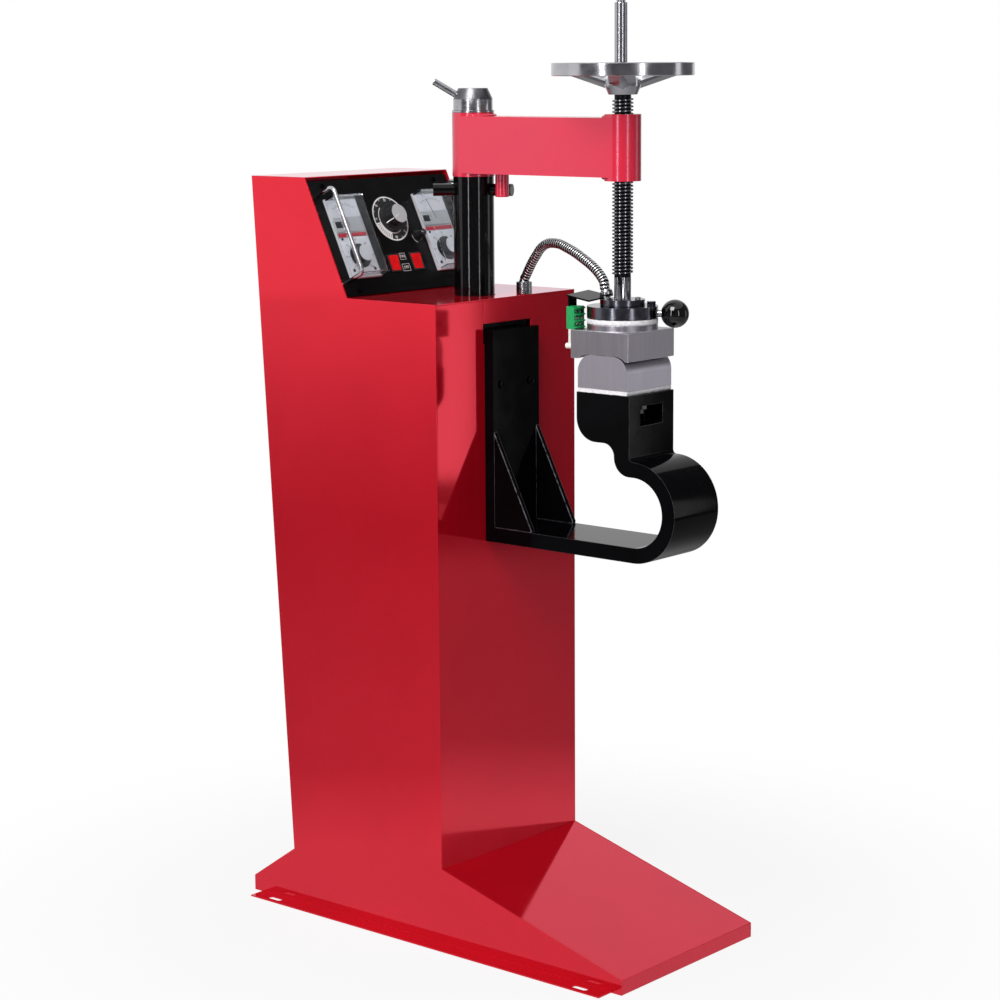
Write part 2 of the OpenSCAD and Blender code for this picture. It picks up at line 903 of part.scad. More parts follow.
// Side outline of the lower arm in Y and Z: bar, bow, and the neck and head cut from one plate
module lower_arm_outline() {
    neck_rear_y = neck_front_y + neck_t;
    head_back_y = screw_y + head_rear;
    top_in_z = bow_z + bow_r;
    neck_r = neck_t - 1;
    web_r = neck_rise - neck_r;
    web_z = top_in_z + neck_r;
    // Bar and bow
    translate([bow_y, bar_z])
        square([y_face - plate_t - bow_y, bar_t]);
    difference() {
        translate([bow_y, bow_z])
            circle(bow_out_r, $fn = 128);
        translate([bow_y, bow_z])
            circle(bow_r, $fn = 128);
        translate([bow_y, bow_z - 2 * bow_out_r])
            square([2 * bow_out_r, 4 * bow_out_r]);
    }
    // Lip over the bow
    translate([bow_y, top_in_z])
        square([neck_front_y - lip_r - bow_y, bar_t]);
    // Neck, with a hollow corner on the lip, a hollow corner under the head and a round foot
    difference() {
        union() {
            translate([neck_front_y - lip_r, top_in_z])
                square([neck_rear_y - neck_r - neck_front_y + lip_r, neck_r]);
            translate([neck_front_y - lip_r, web_z])
                square([neck_rear_y + web_r - neck_front_y + lip_r, head_top_z - web_z]);
        }
        translate([neck_front_y - 2 * lip_r, top_in_z + bar_t + lip_r])
            square([2 * lip_r, head_top_z]);
        translate([neck_front_y - lip_r, top_in_z + bar_t + lip_r])
            circle(lip_r);
        translate([neck_rear_y + web_r, web_z])
            circle(web_r);
    }
    intersection() {
        translate([neck_rear_y - neck_r, web_z])
            circle(neck_r);
        translate([neck_rear_y - neck_r, top_in_z - 1])
            square([neck_r + 1, neck_r + 1]);
    }
    // Head behind the neck, with a round lower corner
    translate([neck_rear_y + web_r, head_under_z])
        square([head_back_y - head_corner_r - neck_rear_y - web_r, head_h]);
    translate([head_back_y - head_corner_r, head_under_z + head_corner_r])
        square([head_corner_r, head_h - head_corner_r]);
    intersection() {
        translate([head_back_y - head_corner_r, head_under_z + head_corner_r])
            circle(head_corner_r);
        translate([head_back_y - head_corner_r, head_under_z - 1])
            square([head_corner_r + 1, head_corner_r + 1]);
    }
}

lip_r = bow_lead - 1.5;
head_corner_r = 33;
pocket_w = 52;
pocket_h = 28;
pocket_deep = 32;
pocket_z = head_under_z + 25;
mould_bolt_y = screw_y - head_front + 20;

module lower_arm() {
    color("#141416")
        difference() {
            yz(-lower_w / 2, lower_w)
                lower_arm_outline();
            block(
                [-pocket_w / 2, neck_front_y - 1, pocket_z],
                [pocket_w / 2, neck_front_y + pocket_deep, pocket_z + pocket_h]
            );
            barrel(0, mould_bolt_y, pocket_z + pocket_h - 1, head_top_z + 1, 5);
        }
}

module lower_insulation() {
    color("#d9d8d2")
        difference() {
            block(
                [-lower_w / 2, mould_y - mould_len / 2, head_top_z],
                [lower_w / 2, mould_y + mould_len / 2, mould_z]
            );
            barrel(0, mould_bolt_y, head_top_z - 1, mould_z + 1, 5);
        }
}

// Crowned outline with round shoulders, in Y and Z about the mould's middle
module crown_outline(len, z0, top_z, r, front, rear) {
    mid = len / 2 - r;
    translate([-len / 2 - front, z0])
        square([len + front + rear, top_z - r - z0]);
    intersection() {
        union() {
            translate([-mid - front, top_z - r])
                circle(r);
            translate([mid + rear, top_z - r])
                circle(r);
        }
        translate([-len - front, z0])
            square([2 * len + front + rear, top_z - z0]);
    }
    translate([-mid - front, z0])
        square([2 * mid + front + rear, top_z - z0]);
}

lower_heater_x = 26;
lower_heater_z = mould_z + 18;

module lower_mould() {
    color("#b4b6b8")
        difference() {
            yz(-mould_w / 2, mould_w)
                translate([mould_y, 0])
                    crown_outline(mould_len, mould_z, mould_top_z, shoulder_r, 0, 0);
            for (side = [-1, 1])
                translate([side * lower_heater_x, mould_y + mould_len / 2 + 1, lower_heater_z])
                    rotate([90, 0, 0])
                        cylinder(h = heater_len + 1, d = heater_d);
            barrel(0, mould_bolt_y, mould_z - 1, mould_z + 16, 5);
        }
}

// Stud and nut that hold the lower mould down, reached through the pocket
module mould_bolt() {
    color("silver") {
        barrel(0, mould_bolt_y, pocket_z + pocket_h - 14, mould_z + 16, 5);
        translate([0, mould_bolt_y, pocket_z + pocket_h - 8])
            cylinder(h = 8, r = 9.2, $fn = 6);
    }
}

// Cartridge heater with its lead collar, along +Y from a blind bore
module heater(x, y_mouth, z) {
    translate([x, y_mouth, z])
        rotate([90, 0, 0])
            cylinder(h = heater_len, d = heater_d);
    translate([x, y_mouth, z])
        rotate([-90, 0, 0])
            cylinder(h = 6, r = heater_d / 2 - 1);
}

module lower_heaters() {
    color("#8d8f92")
        for (side = [-1, 1])
            heater(side * lower_heater_x, mould_y + mould_len / 2, lower_heater_z);
}

// Conduit and glands

module ledge_gland() {
    y = y_face + gland_set;
    top_z = ledge_z + gland_h;
    color("#a7a9ac")
        difference() {
            barrel(gland_x, y, ledge_z, top_z, gland_r);
            barrel(gland_x, y, ledge_z - 1, top_z + 1, hose_bore / 2);
            barrel(gland_x, y, top_z - gland_cup, top_z + 1, hose_d / 2 + 1.9);
        }
}

// Smooth curve through the route. The first and last spans are straight, and the curve leaves them square.
function knot_before(i) =
    i > 1 ? hose_pts[i - 1] : hose_pts[2] - 2 * norm(hose_pts[2] - hose_pts[1]) * [0, 0, 1];
function knot_after(i) =
    i < hose_knots - 3 ? hose_pts[i + 2] : hose_pts[i] - 2 * norm(hose_pts[i + 1] - hose_pts[i]) * hose_out;
function spline(a, b, c, d, s) =
    0.5 * (2 * b + (c - a) * s + (2 * a - 5 * b + 4 * c - d) * s * s + (3 * b - a - 3 * c + d) * s * s * s);
function route(t) =
    t <= 1 ? hose_start + t * hose_lead * [0, 0, 1]
    : t >= hose_knots - 2 ? hose_stop + (hose_knots - 1 - t) * hose_lead * hose_out
    : let (i = floor(t)) spline(knot_before(i), hose_pts[i], hose_pts[i + 1], knot_after(i), t - i);
function unit(v) = v / norm(v);
function heading(t) =
    t <= 1 ? [0, 0, 1]
    : t >= hose_knots - 2 ? -hose_out
    : unit(route(t + 0.02) - route(t - 0.02));
// Distance along the route at each point, to space the ribs evenly
function route_length(i) = i == 0 ? 0 : route_length(i - 1) + norm(hose_pts[i] - hose_pts[i - 1]);
hose_marks = [for (i = [0 : hose_knots - 1]) [route_length(i), i]];
function along(share) = lookup(share * route_length(hose_knots - 1), hose_marks);
// Ring across the route, with all rings lined up along one side direction
hose_side = unit(cross([0, 0, 1], hose_stop - hose_start));
function ring(share, r, sides) =
    let (t = along(share), c = route(t), w = heading(t), u = unit(hose_side - (hose_side * w) * w), v = cross(w, u))
    [for (k = [0 : sides - 1]) c + r * (cos(360 * k / sides) * u + sin(360 * k / sides) * v)];

hose_sides = 8;
bore_rings = 30;
hose_valley = 0.9;

// Ribbed tube as one closed skin: outer rings in pairs, one pair a rib, and a plain bore
module heater_conduit() {
    outer = [
        for (i = [0 : 2 * ribs - 1])
            ring(i / (2 * ribs - 1), hose_d / 2 - (i % 2 == 0 ? hose_valley : 0), hose_sides)
    ];
    inner = [
        for (i = [0 : bore_rings - 1])
            ring(1 - i / (bore_rings - 1), hose_bore / 2, hose_sides)
    ];
    rings = concat(outer, inner);
    n = len(rings);
    pts = [for (r = rings) for (p = r) p];
    faces = [
        for (i = [0 : n - 1], k = [0 : hose_sides - 1], half = [0, 1])
            let (
                a = i * hose_sides + k,
                b = i * hose_sides + (k + 1) % hose_sides,
                c = ((i + 1) % n) * hose_sides + (k + 1) % hose_sides,
                d = ((i + 1) % n) * hose_sides + k
            )
            half == 0 ? [a, c, b] : [a, d, c]
    ];
    color("#9da0a3")
        polyhedron(points = pts, faces = faces, convexity = 10);
}

// Upper arm

module swing_arm() {
    color("crimson")
        difference() {
            union() {
                barrel(0, post_y, arm_z, arm_top_z, arm_post_r);
                barrel(0, screw_y, arm_z, arm_top_z, arm_screw_r);
                translate([0, 0, arm_z + arm_step])
                    linear_extrude(arm_h - 2 * arm_step)
                        polygon([
                            [-arm_post_r, post_y],
                            [arm_post_r, post_y],
                            [arm_screw_r, screw_y],
                            [-arm_screw_r, screw_y]
                        ]);
            }
            barrel(0, post_y, arm_z - 1, arm_top_z + 1, pivot_r + bush_wall);
            barrel(0, screw_y, arm_z - 1, arm_top_z + 1, nut_r + nut_wall);
        }
}

module arm_bush() {
    color("peru")
        difference() {
            barrel(0, post_y, arm_z, arm_top_z, pivot_r + bush_wall);
            barrel(0, post_y, arm_z - 1, arm_top_z + 1, pivot_r + run_gap);
        }
}

module screw_nut() {
    color("peru")
        difference() {
            barrel(0, screw_y, arm_z, arm_top_z, nut_r + nut_wall);
            barrel(0, screw_y, arm_z - 1, arm_top_z + 1, nut_r);
        }
}

module stop_lug() {
    color("crimson")
        barrel(0, post_y - lug_reach, arm_z + arm_step - lug_len, arm_z + arm_step, lug_d / 2);
}

clamp_flange_h = 3;
clamp_cone_h = 16;
clamp_seat = 22;

// Places the lever's axis on the clamp nut, pointing out and up
module on_clamp() {
    tip_z = clamp_z + clamp_h + 10;
    rise = (clamp_lever_reach - clamp_seat) * tan(clamp_lever_rise);
    translate([0, post_y, tip_z - rise])
        rotate([0, 0, clamp_deg])
            translate([clamp_seat, 0, 0])
                rotate([0, 90 - clamp_lever_rise, 0])
                    children();
}

module clamp_nut() {
    color("silver")
        difference() {
            translate([0, post_y, clamp_z])
                rotate_extrude()
                    polygon([
                        [0, 0],
                        [clamp_flange_d / 2, 0],
                        [clamp_flange_d / 2, clamp_flange_h],
                        [clamp_d / 2, clamp_flange_h],
                        [clamp_d / 2, clamp_h - clamp_cone_h],
                        [clamp_top_d / 2, clamp_h],
                        [0, clamp_h]
                    ]);
            barrel(0, post_y, clamp_z - 1, clamp_z + 22 + face_gap, pivot_r + run_gap);
            on_clamp()
                cylinder(h = clamp_lever_reach, d = clamp_lever_d);
        }
}

module clamp_lever() {
    lever_len = (clamp_lever_reach - clamp_seat) / cos(clamp_lever_rise);
    color("gray")
        on_clamp()
            cylinder(h = lever_len, d = clamp_lever_d);
}

// Head

upper_heater_x = 36;
upper_heater_z = block_z + 22;
block_back_y = screw_y + block_len / 2;

module upper_mould() {
    color("#a9abad")
        difference() {
            union() {
                block(
                    [-block_w / 2, screw_y - block_len / 2, block_z],
                    [block_w / 2, block_back_y, block_top_z]
                );
                barrel(0, screw_y, block_top_z, boss_top_z, ring_d / 2 - 0.3);
            }
            yz(-block_w, 2 * block_w)
                translate([mould_y, 0])
                    crown_outline(
                        mould_len + 2 * mould_gap, mould_z, mould_top_z + mould_gap,
                        shoulder_r + mould_gap, swing_relief_front, swing_relief
                    );
            for (side = [-1, 1])
                translate([side * upper_heater_x, block_back_y + 1, upper_heater_z])
                    rotate([90, 0, 0])
                        cylinder(h = heater_len + 1, d = heater_d);
        }
}

module upper_insulation() {
    color("#d9d8d2")
        barrel(0, screw_y, boss_top_z, ring_z, ring_d / 2);
}

module upper_heaters() {
    color("#8d8f92")
        for (side = [-1, 1])
            heater(side * upper_heater_x, block_back_y, upper_heater_z);
}

module bearing_housing() {
    color("#3c3c40")
        difference() {
            barrel(0, screw_y, ring_z, retainer_z, housing_d / 2);
            barrel(0, screw_y, ring_z + housing_floor, retainer_z + 1, cavity_r);
        }
}

module thrust_bearing() {
    z0 = ring_z + housing_floor;
    color("gray")
        difference() {
            barrel(0, screw_y, z0, z0 + bearing_t, cavity_r);
            barrel(0, screw_y, z0 - 1, z0 + bearing_t + 1, 9);
        }
}

screw_pcd_r = 27;
retainer_degs = [20, 160, 270];

module retainer_plate() {
    color("#4a4a4e")
        difference() {
            barrel(0, screw_y, retainer_z, head_top, retainer_d / 2);
            barrel(0, screw_y, retainer_z - 1, head_top + 1, shank_d / 2 + run_gap);
            for (deg = retainer_degs)
                on_head(deg, screw_pcd_r, retainer_z - 1)
                    cylinder(h = retainer_t + 2, r = 2);
        }
}

module retainer_screws() {
    color("silver")
        for (deg = retainer_degs) {
            on_head(deg, screw_pcd_r, retainer_z)
                cylinder(h = retainer_t, r = 2);
            difference() {
                on_head(deg, screw_pcd_r, head_top)
                    cylinder(h = 4, r = 4);
                on_head(deg, screw_pcd_r, head_top + 2)
                    cylinder(h = 3, r = 2.2, $fn = 6);
            }
        }
}

// Tilted sheet notched over the retainer plate: carries the conduit end and the terminal block
module terminal_bracket() {
    leg_y = screw_y + bracket_y1 - bracket_t;
    color("#202022")
        difference() {
            union() {
                translate([bracket_x0, screw_y + bracket_y0, head_top + bracket_low - bracket_t])
                    rotate([bracket_tilt, -bracket_roll, 0])
                        cube([bracket_w, bracket_len, bracket_t]);
                block(
                    [bracket_x0 + 1, leg_y, block_top_z + 8],
                    [terminal_x + terminal_w, leg_y + bracket_t, head_top + 5]
                );
                intersection() {
                    on_collar(0)
                        cylinder(h = collar_h + hose_d, r = hose_d / 2 + 1.5);
                    on_collar(-hose_d)
                        cylinder(h = collar_h + hose_d, r = 3 * hose_d);
                    block([-hose_d, screw_y, head_top], [hose_d, screw_y + bracket_y1, head_top + 3 * hose_d]);
                }
            }
            barrel(0, screw_y, ring_z, head_top, retainer_d / 2);
            on_collar(-hose_d)
                cylinder(h = collar_h + 2 * hose_d, r = hose_bore / 2);
        }
}

// Places something on the conduit's leaning collar
module on_collar(h) {
    translate(hose_base)
        rotate([-hose_lean, 0, 0])
            translate([0, 0, h])
                children();
}

module terminal_block() {
    y1 = screw_y + bracket_y1 - bracket_t;
    color("#1f8a4c")
        block(
            [terminal_x, y1 - terminal_d, block_top_z],
            [terminal_x + terminal_w, y1, block_top_z + terminal_h]
        );
}

// Sensor boot in the back of the upper mould and the sleeved lead up to the terminals
module heater_leads() {
    boot_x = -block_w / 2 + 5;
    lead_y = block_back_y + 5;
    boot_z = upper_heater_z - 6;
    color("#e8e6df") {
        translate([boot_x, block_back_y, boot_z])
            rotate([-90, 0, 0])
                cylinder(h = 11, r = 4);
        barrel(boot_x, lead_y, boot_z, block_top_z, 2.6);
    }
}

module lock_ring() {
    top_z = ring_z + face_gap + ring_h;
    color("#333336")
        difference() {
            barrel(0, screw_y, ring_z + face_gap, top_z, ring_d / 2);
            barrel(0, screw_y, ring_z, retainer_z, housing_d / 2 + face_gap);
            on_head(lever_deg, lock_bolt_reach, top_z - lock_bolt_deep)
                cylinder(h = ring_h, d = lock_bolt_d);
            lever_rod();
        }
}

// Hex bolt in the top of the ring
module lock_bolt() {
    top_z = ring_z + face_gap + ring_h;
    color("#26262a") {
        on_head(lever_deg, lock_bolt_reach, top_z - lock_bolt_deep)
            cylinder(h = lock_bolt_deep + 1, d = lock_bolt_d);
        on_head(lever_deg, lock_bolt_reach, top_z)
            cylinder(h = 6.5, r = 6.2, $fn = 6);
    }
}

// Rod from its seat in the ring into the ball
module lever_rod() {
    on_head(lever_deg, lever_seat, lever_z)
        rotate([0, 90, 0])
            cylinder(h = ball_reach - 8 - lever_seat, d = lever_d);
}

module lock_lever() {
    color("gray")
        lever_rod();
}

module ball_knob() {
    color("#101012")
        difference() {
            on_head(lever_deg, ball_reach, lever_z)
                sphere(d = ball_d);
            lever_rod();
            on_head(lever_deg, ball_reach - ball_d / 2 - 1, lever_z)
                rotate([0, 90, 0])
                    cylinder(h = 2.4, d = ball_d);
        }
}

// Screw and handwheel

// Thread turns between the shank and the hub, as ridges one pitch apart
thread_turns = floor((hub_z - thread_z) / pitch);

module screw() {
    root_r = screw_r - thread_depth;
    spigot_r = 8.9;
    bearing_z = ring_z + housing_floor;
    collar_z = bearing_z + bearing_t + face_gap;
    color("#4b4b4f")
        translate([0, screw_y, 0])
            rotate_extrude()
                polygon(concat(
                    [
                        [0, bearing_z + face_gap],
                        [spigot_r, bearing_z + face_gap],
                        [spigot_r, collar_z],
                        [collar_r, collar_z],
                        [collar_r, collar_z + collar_t],
                        [shank_d / 2, collar_z + collar_t],
                        [shank_d / 2, thread_z]
                    ],
                    [
                        for (i = [0 : thread_turns - 1], s = [0 : 3])
                            let (z = thread_z + i * pitch)
                            [
                                s == 0 || s == 3 ? root_r : screw_r,
                                z + pitch * [0.1, 0.4, 0.6, 0.9][s]
                            ]
                    ],
                    [
                        [root_r, hub_z],
                        [shank_d / 2, hub_z],
                        [shank_d / 2, hub_z + hub_h],
                        [0, hub_z + hub_h]
                    ]
                ));
}

module handwheel() {
    spoke_t = 13;
    in_r = wheel_r - rim_w;
    edge = 0.8;
    foot_r = hub_r - 4;
    foot_z = hub_z + 5;
    rise_deg = atan2(rim_z + 1 - foot_z, in_r + rim_w / 2 - foot_r);
    spoke_len = norm([rim_z + 1 - foot_z, in_r + rim_w / 2 - foot_r]);
    color("#c4c6c8")
        difference() {
            union() {
                translate([0, screw_y, hub_z])
                    rotate_extrude()
                        polygon([
                            [0, 0], [hub_r, 0], [hub_top_r, 12],
                            [hub_top_r, hub_h - 2], [hub_top_r - 2, hub_h], [0, hub_h]
                        ]);
                translate([0, screw_y, rim_z])
                    rotate_extrude($fn = 128)
                        polygon([
                            [in_r, edge], [in_r + edge, 0], [wheel_r - edge, 0], [wheel_r, edge],
                            [wheel_r, rim_h - edge], [wheel_r - edge, rim_h], [in_r + edge, rim_h],
                            [in_r, rim_h - edge]
                        ]);
                for (i = [0 : spokes - 1])
                    translate([0, screw_y, 0])
                        rotate([0, 0, crank_deg + i * 360 / spokes])
                            translate([foot_r, 0, foot_z])
                                rotate([0, 90 - rise_deg, 0])
                                    linear_extrude(spoke_len)
                                        polygon([
                                            [0, 0],
                                            [-spoke_t + 4, -spoke_w / 2],
                                            [-spoke_t, -spoke_w / 2],
                                            [-spoke_t, spoke_w / 2],
                                            [-spoke_t + 4, spoke_w / 2]
                                        ]);
            }
            barrel(0, screw_y, hub_z - 1, hub_z + hub_h + 1, shank_d / 2);
            on_head(crank_deg, crank_r, rim_z + 3)
                cylinder(h = rim_h, d = stud_d);
        }
}

module crank_stud() {
    color("gray") {
        on_head(crank_deg, crank_r, rim_z + 3)
            cylinder(h = rim_h - 3 + 2 * face_gap + grip_len + 2, d = stud_d);
        on_head(crank_deg, crank_r, rim_top_z + 2 * face_gap + grip_len)
            cylinder(h = 4, d = stud_d + 1);
    }
}

module crank_grip() {
    color("silver")
        difference() {
            on_head(crank_deg, crank_r, grip_z)
                cylinder(h = grip_len, d = grip_d);
            on_head(crank_deg, crank_r, grip_z - 1)
                cylinder(h = grip_len + 2, d = stud_d + 2 * run_gap);
        }
}

left_side_panel();
right_side_panel();
front_panel();
slot_filler();
ledge_plate();
ramp_plate();
rear_base_plate();
rear_panel();
console_top();
control_panel();
panel_screws();
guard_handles();
controllers();
controller_covers();
left_setpoint_knob();
right_setpoint_knob();
timer_body();
timer_knob();
switch_frames();
selector_knob();
left_rocker();
right_rocker();
rear_gland();
frame_spine();
post();
pivot_stud();
ledge_gland();
heater_conduit();
bracket_plate();
bracket_gussets();
bracket_bolts();
lower_arm();
lower_insulation();
lower_mould();
mould_bolt();
lower_heaters();
swing_arm();
arm_bush();
screw_nut();
stop_lug();
clamp_nut();
clamp_lever();
upper_mould();
upper_insulation();
upper_heaters();
bearing_housing();
thrust_bearing();
retainer_plate();
retainer_screws();
terminal_bracket();
terminal_block();
heater_leads();
lock_ring();
lock_bolt();
lock_lever();
ball_knob();
screw();
handwheel();
crank_stud();
crank_grip();
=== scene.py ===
import json
import math

import bmesh
import bpy
from mathutils import Matrix, Vector


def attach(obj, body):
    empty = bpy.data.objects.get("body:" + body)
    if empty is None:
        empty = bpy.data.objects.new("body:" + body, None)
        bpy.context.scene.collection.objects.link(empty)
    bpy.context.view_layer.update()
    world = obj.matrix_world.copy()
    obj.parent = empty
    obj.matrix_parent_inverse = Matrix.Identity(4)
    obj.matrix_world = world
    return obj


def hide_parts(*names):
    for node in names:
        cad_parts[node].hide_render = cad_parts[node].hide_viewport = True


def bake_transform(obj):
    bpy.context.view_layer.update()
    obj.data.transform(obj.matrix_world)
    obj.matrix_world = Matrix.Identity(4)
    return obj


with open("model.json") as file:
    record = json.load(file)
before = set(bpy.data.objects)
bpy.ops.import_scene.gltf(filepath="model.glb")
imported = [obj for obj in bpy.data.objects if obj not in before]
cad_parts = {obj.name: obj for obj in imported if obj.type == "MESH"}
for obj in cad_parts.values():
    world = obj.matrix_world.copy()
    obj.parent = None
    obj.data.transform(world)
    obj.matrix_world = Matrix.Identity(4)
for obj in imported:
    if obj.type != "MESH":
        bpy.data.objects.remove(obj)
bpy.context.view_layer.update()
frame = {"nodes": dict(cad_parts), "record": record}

cadNodes = frame["nodes"]
record = frame["record"]
bodyOf = {n: b for b, members in record["behaviour"]["bodies"].items() for n in members}
mm = 0.001
print("frame loaded:", len(cadNodes), "nodes")

bpy.context.scene.view_settings.view_transform = "Standard"


def pickOnly(*objs):
    bpy.ops.object.select_all(action="DESELECT")
    for o in objs:
        o.select_set(True)
    bpy.context.view_layer.objects.active = objs[0] if objs else None


def shape(obj, kind, pick, op, **settings):
    # one edit-mode step on the verts, edges or faces that pick() chooses
    pickOnly(obj)
    bpy.ops.object.mode_set(mode="EDIT")
    bpy.ops.mesh.select_mode(type=kind)
    bpy.ops.mesh.select_all(action="DESELECT")
    mesh = bmesh.from_edit_mesh(obj.data)
    for item in {"VERT": mesh.verts, "EDGE": mesh.edges, "FACE": mesh.faces}[kind]:
        if pick(item):
            item.select_set(True)
    bmesh.update_edit_mesh(obj.data)
    op(**settings)
    bpy.ops.object.mode_set(mode="OBJECT")


def everything(item):
    return True


def modify(obj, kind, **settings):
    # adds a modifier and applies it at once
    pickOnly(obj)
    made = obj.modifiers.new(kind.lower(), kind)
    for key, value in settings.items():
        setattr(made, key, value)
    bpy.ops.object.modifier_apply(modifier=made.name)


def smooth(obj, degrees):
    pickOnly(obj)
    bpy.ops.object.shade_smooth_by_angle(angle=math.radians(degrees))


def named(obj, name):
    obj.name = name
    obj.data.name = name
    return obj


def settle(obj):
    # the place goes into the mesh, as in a CAD node
    pickOnly(obj)
    bpy.ops.object.transform_apply(location=True, rotation=True, scale=True)


def joined(name, parts):
    pickOnly(*parts)
    if len(parts) > 1:
        bpy.ops.object.join()
    return named(bpy.context.view_layer.objects.active, name)


def paint(obj, *materials):
    obj.data.materials.clear()
    for material in materials:
        obj.data.materials.append(material)


sameSpot = 0.002  # verts closer than this, in mm, become one


def weldVerts(obj):
    shape(obj, "VERT", everything, bpy.ops.mesh.remove_doubles, threshold=sameSpot * mm)


def facesUp(face):
    return face.normal.z > 0.9


def cylinder(x, y, r, low, high, sides):
    # upright solid cylinder, all in mm
    pickOnly()
    bpy.ops.mesh.primitive_cylinder_add(vertices=sides, radius=r * mm, depth=(high - low) * mm,
                                        location=(x * mm, y * mm, (low + high) / 2 * mm))
    obj = bpy.context.active_object
    settle(obj)
    return obj


def cadCopy(node, name):
    piece = bpy.data.objects.new(name, cadNodes[node].data.copy())
    bpy.context.scene.collection.objects.link(piece)
    weldVerts(piece)
    return piece


def standsFor(piece, node):
    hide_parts(node)
    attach(piece, bodyOf[node])


def dress(piece, finish, body, degrees):
    smooth(piece, degrees)
    paint(piece, finish)
    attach(piece, body)


# camera, fitted to the photograph's straight edges
photoCamera = {
    "lens": 91.29,
    "place": (-2.8346, -2.4307, 1.2948),
    "yaw": -49.5,
    "pitch": 9.88,
    "roll": -0.4,
}


def makeCamera(c):
    yaw, pitch, roll = (math.radians(c[k]) for k in ("yaw", "pitch", "roll"))
    back = Vector((math.sin(yaw) * math.cos(pitch), -math.cos(yaw) * math.cos(pitch), math.sin(pitch)))
    right = (-back).cross(Vector((0, 0, 1))).normalized()
    up = right.cross(-back)
    side = right * math.cos(roll) + up * math.sin(roll)
    top = up * math.cos(roll) - right * math.sin(roll)
    data = bpy.data.cameras.new("photoCamera")
    data.lens = c["lens"]
    data.sensor_width = 36
    data.clip_end = 60
    cam = bpy.data.objects.new("photoCamera", data)
    bpy.context.scene.collection.objects.link(cam)
    cam.matrix_world = Matrix((side, top, back)).transposed().to_4x4()
    cam.location = c["place"]
    bpy.context.scene.camera = cam


makeCamera(photoCamera)
print("camera placed")


# materials

def srgb(code):
    # sRGB hex to linear
    parts = [int(code[i:i + 2], 16) / 255 for i in (1, 3, 5)]
    return [p / 12.92 if p <= 0.04045 else ((p + 0.055) / 1.055) ** 2.4 for p in parts] + [1.0]


def put(tree, kind, sockets=None, **settings):
    made = tree.nodes.new("ShaderNode" + kind)
    for key, value in settings.items():
        setattr(made, key, value)
    for key, value in (sockets or {}).items():
        if isinstance(value, bpy.types.NodeSocket):
            tree.links.new(value, made.inputs[key])
        else:
            made.inputs[key].default_value = value
    return made


def newFinish(name, **sockets):
    material = bpy.data.materials.new(name)
    material.use_nodes = True
    tree = material.node_tree
    shader = tree.nodes["Principled BSDF"]
    for key, value in sockets.items():
        shader.inputs[key.replace("_", " ")].default_value = value
    return material, tree, shader


cloudSpan = (0.3, 0.7)  # the noise seldom goes past these


def mottle(tree, shader, colours, size, rough, peel=None, height=0.0, stretch=(1, 1, 1)):
    # cloudy change of colour and gloss, size in mm, and a fine relief of peel mm
    place = put(tree, "TexCoord").outputs["Object"]
    laid = put(tree, "Mapping", {"Vector": place, "Scale": stretch}).outputs["Vector"]
    noise = put(tree, "TexNoise", {"Vector": laid, "Scale": 1 / (size * mm), "Detail": 3,
                                   "Roughness": 0.55})
    cloud = noise.outputs["Fac"]
    tint = put(tree, "ValToRGB", {"Fac": cloud})
    for stop, position, colour in zip(tint.color_ramp.elements, cloudSpan, colours):
        stop.position = position
        stop.color = srgb(colour)
    tree.links.new(tint.outputs["Color"], shader.inputs["Base Color"])
    gloss = put(tree, "MapRange", {"Value": cloud, "From Min": cloudSpan[0], "From Max": cloudSpan[1],
                                   "To Min": rough[0], "To Max": rough[1]})
    tree.links.new(gloss.outputs["Result"], shader.inputs["Roughness"])
    if peel:
        grain = put(tree, "TexNoise", {"Vector": laid, "Scale": 1 / (peel * mm), "Detail": 2})
        relief = put(tree, "Bump", {"Height": grain.outputs["Fac"], "Strength": 1.0,
                                    "Distance": height * mm})
        tree.links.new(relief.outputs["Normal"], shader.inputs["Normal"])


def redEnamelFinish(name, colours, rough, coat, flake):
    # stoved enamel with a metallic ground: deep red that mirrors in red, and a faint orange peel
    material, tree, shader = newFinish(name, Specular_IOR_Level=coat, Metallic=flake,
                                       Specular_Tint=srgb("#efe2ff"))
    mottle(tree, shader, colours, 160, rough, peel=6.0, height=0.006)
    return material


def blackEnamelFinish(name, coat, wave):
    # thick brushed-on enamel over hot rolled steel: near black, wavy highlights
    material, tree, shader = newFinish(name, Specular_IOR_Level=coat)
    mottle(tree, shader, ("#030304", "#060608"), 40, (0.06, 0.12), peel=9.0, height=wave)
    return material


redEnamel = redEnamelFinish("redGlossEnamelOnSheet", ("#cd0c20", "#d40f24"), (0.05, 0.09), 0.6, 0.5)
armEnamel = redEnamelFinish("redEnamelOnCasting", ("#c21f35", "#ca253b"), (0.16, 0.24), 0.8, 0.0)
# one black enamel twice: the post's copy reflects far more strongly than the plates', a painted sheen
# standing in for how light falls on the round post
blackEnamel = blackEnamelFinish("blackEnamelOnSteel", 0.06, 0.03)
postEnamelPaintedSheen = blackEnamelFinish("blackEnamelOnTubePaintedSheen", 0.28, 0.1)


def plainFinish(name, colours, size, rough, peel=None, height=0.0, stretch=(1, 1, 1), **sockets):
    material, tree, shader = newFinish(name, **sockets)
    mottle(tree, shader, colours, size, rough, peel, height, stretch)
    return material


def metalFinish(*args):
    return plainFinish(*args, Metallic=1.0)


# stretch of a pattern that makes straight tool marks
cutterLines = (1, 1, 0.06)
latheLines = (1, 1, 6)

# screen printed satin lacquer on the console plate: even black with a dull grain
panelLacquer = plainFinish("satinBlackPrintedPlate", ("#050506", "#08080a"), 25, (0.3, 0.4), 0.8, 0.01,
                           Specular_IOR_Level=0.1)
# upper mould, milled and then dulled by the heat: mid grey satin with fine upright cutter lines
darkMould = metalFinish("heatDulledAluminium", ("#8f8b92", "#9c98a0"), 7, (0.32, 0.44), 1.6, 0.006,
                        cutterLines)
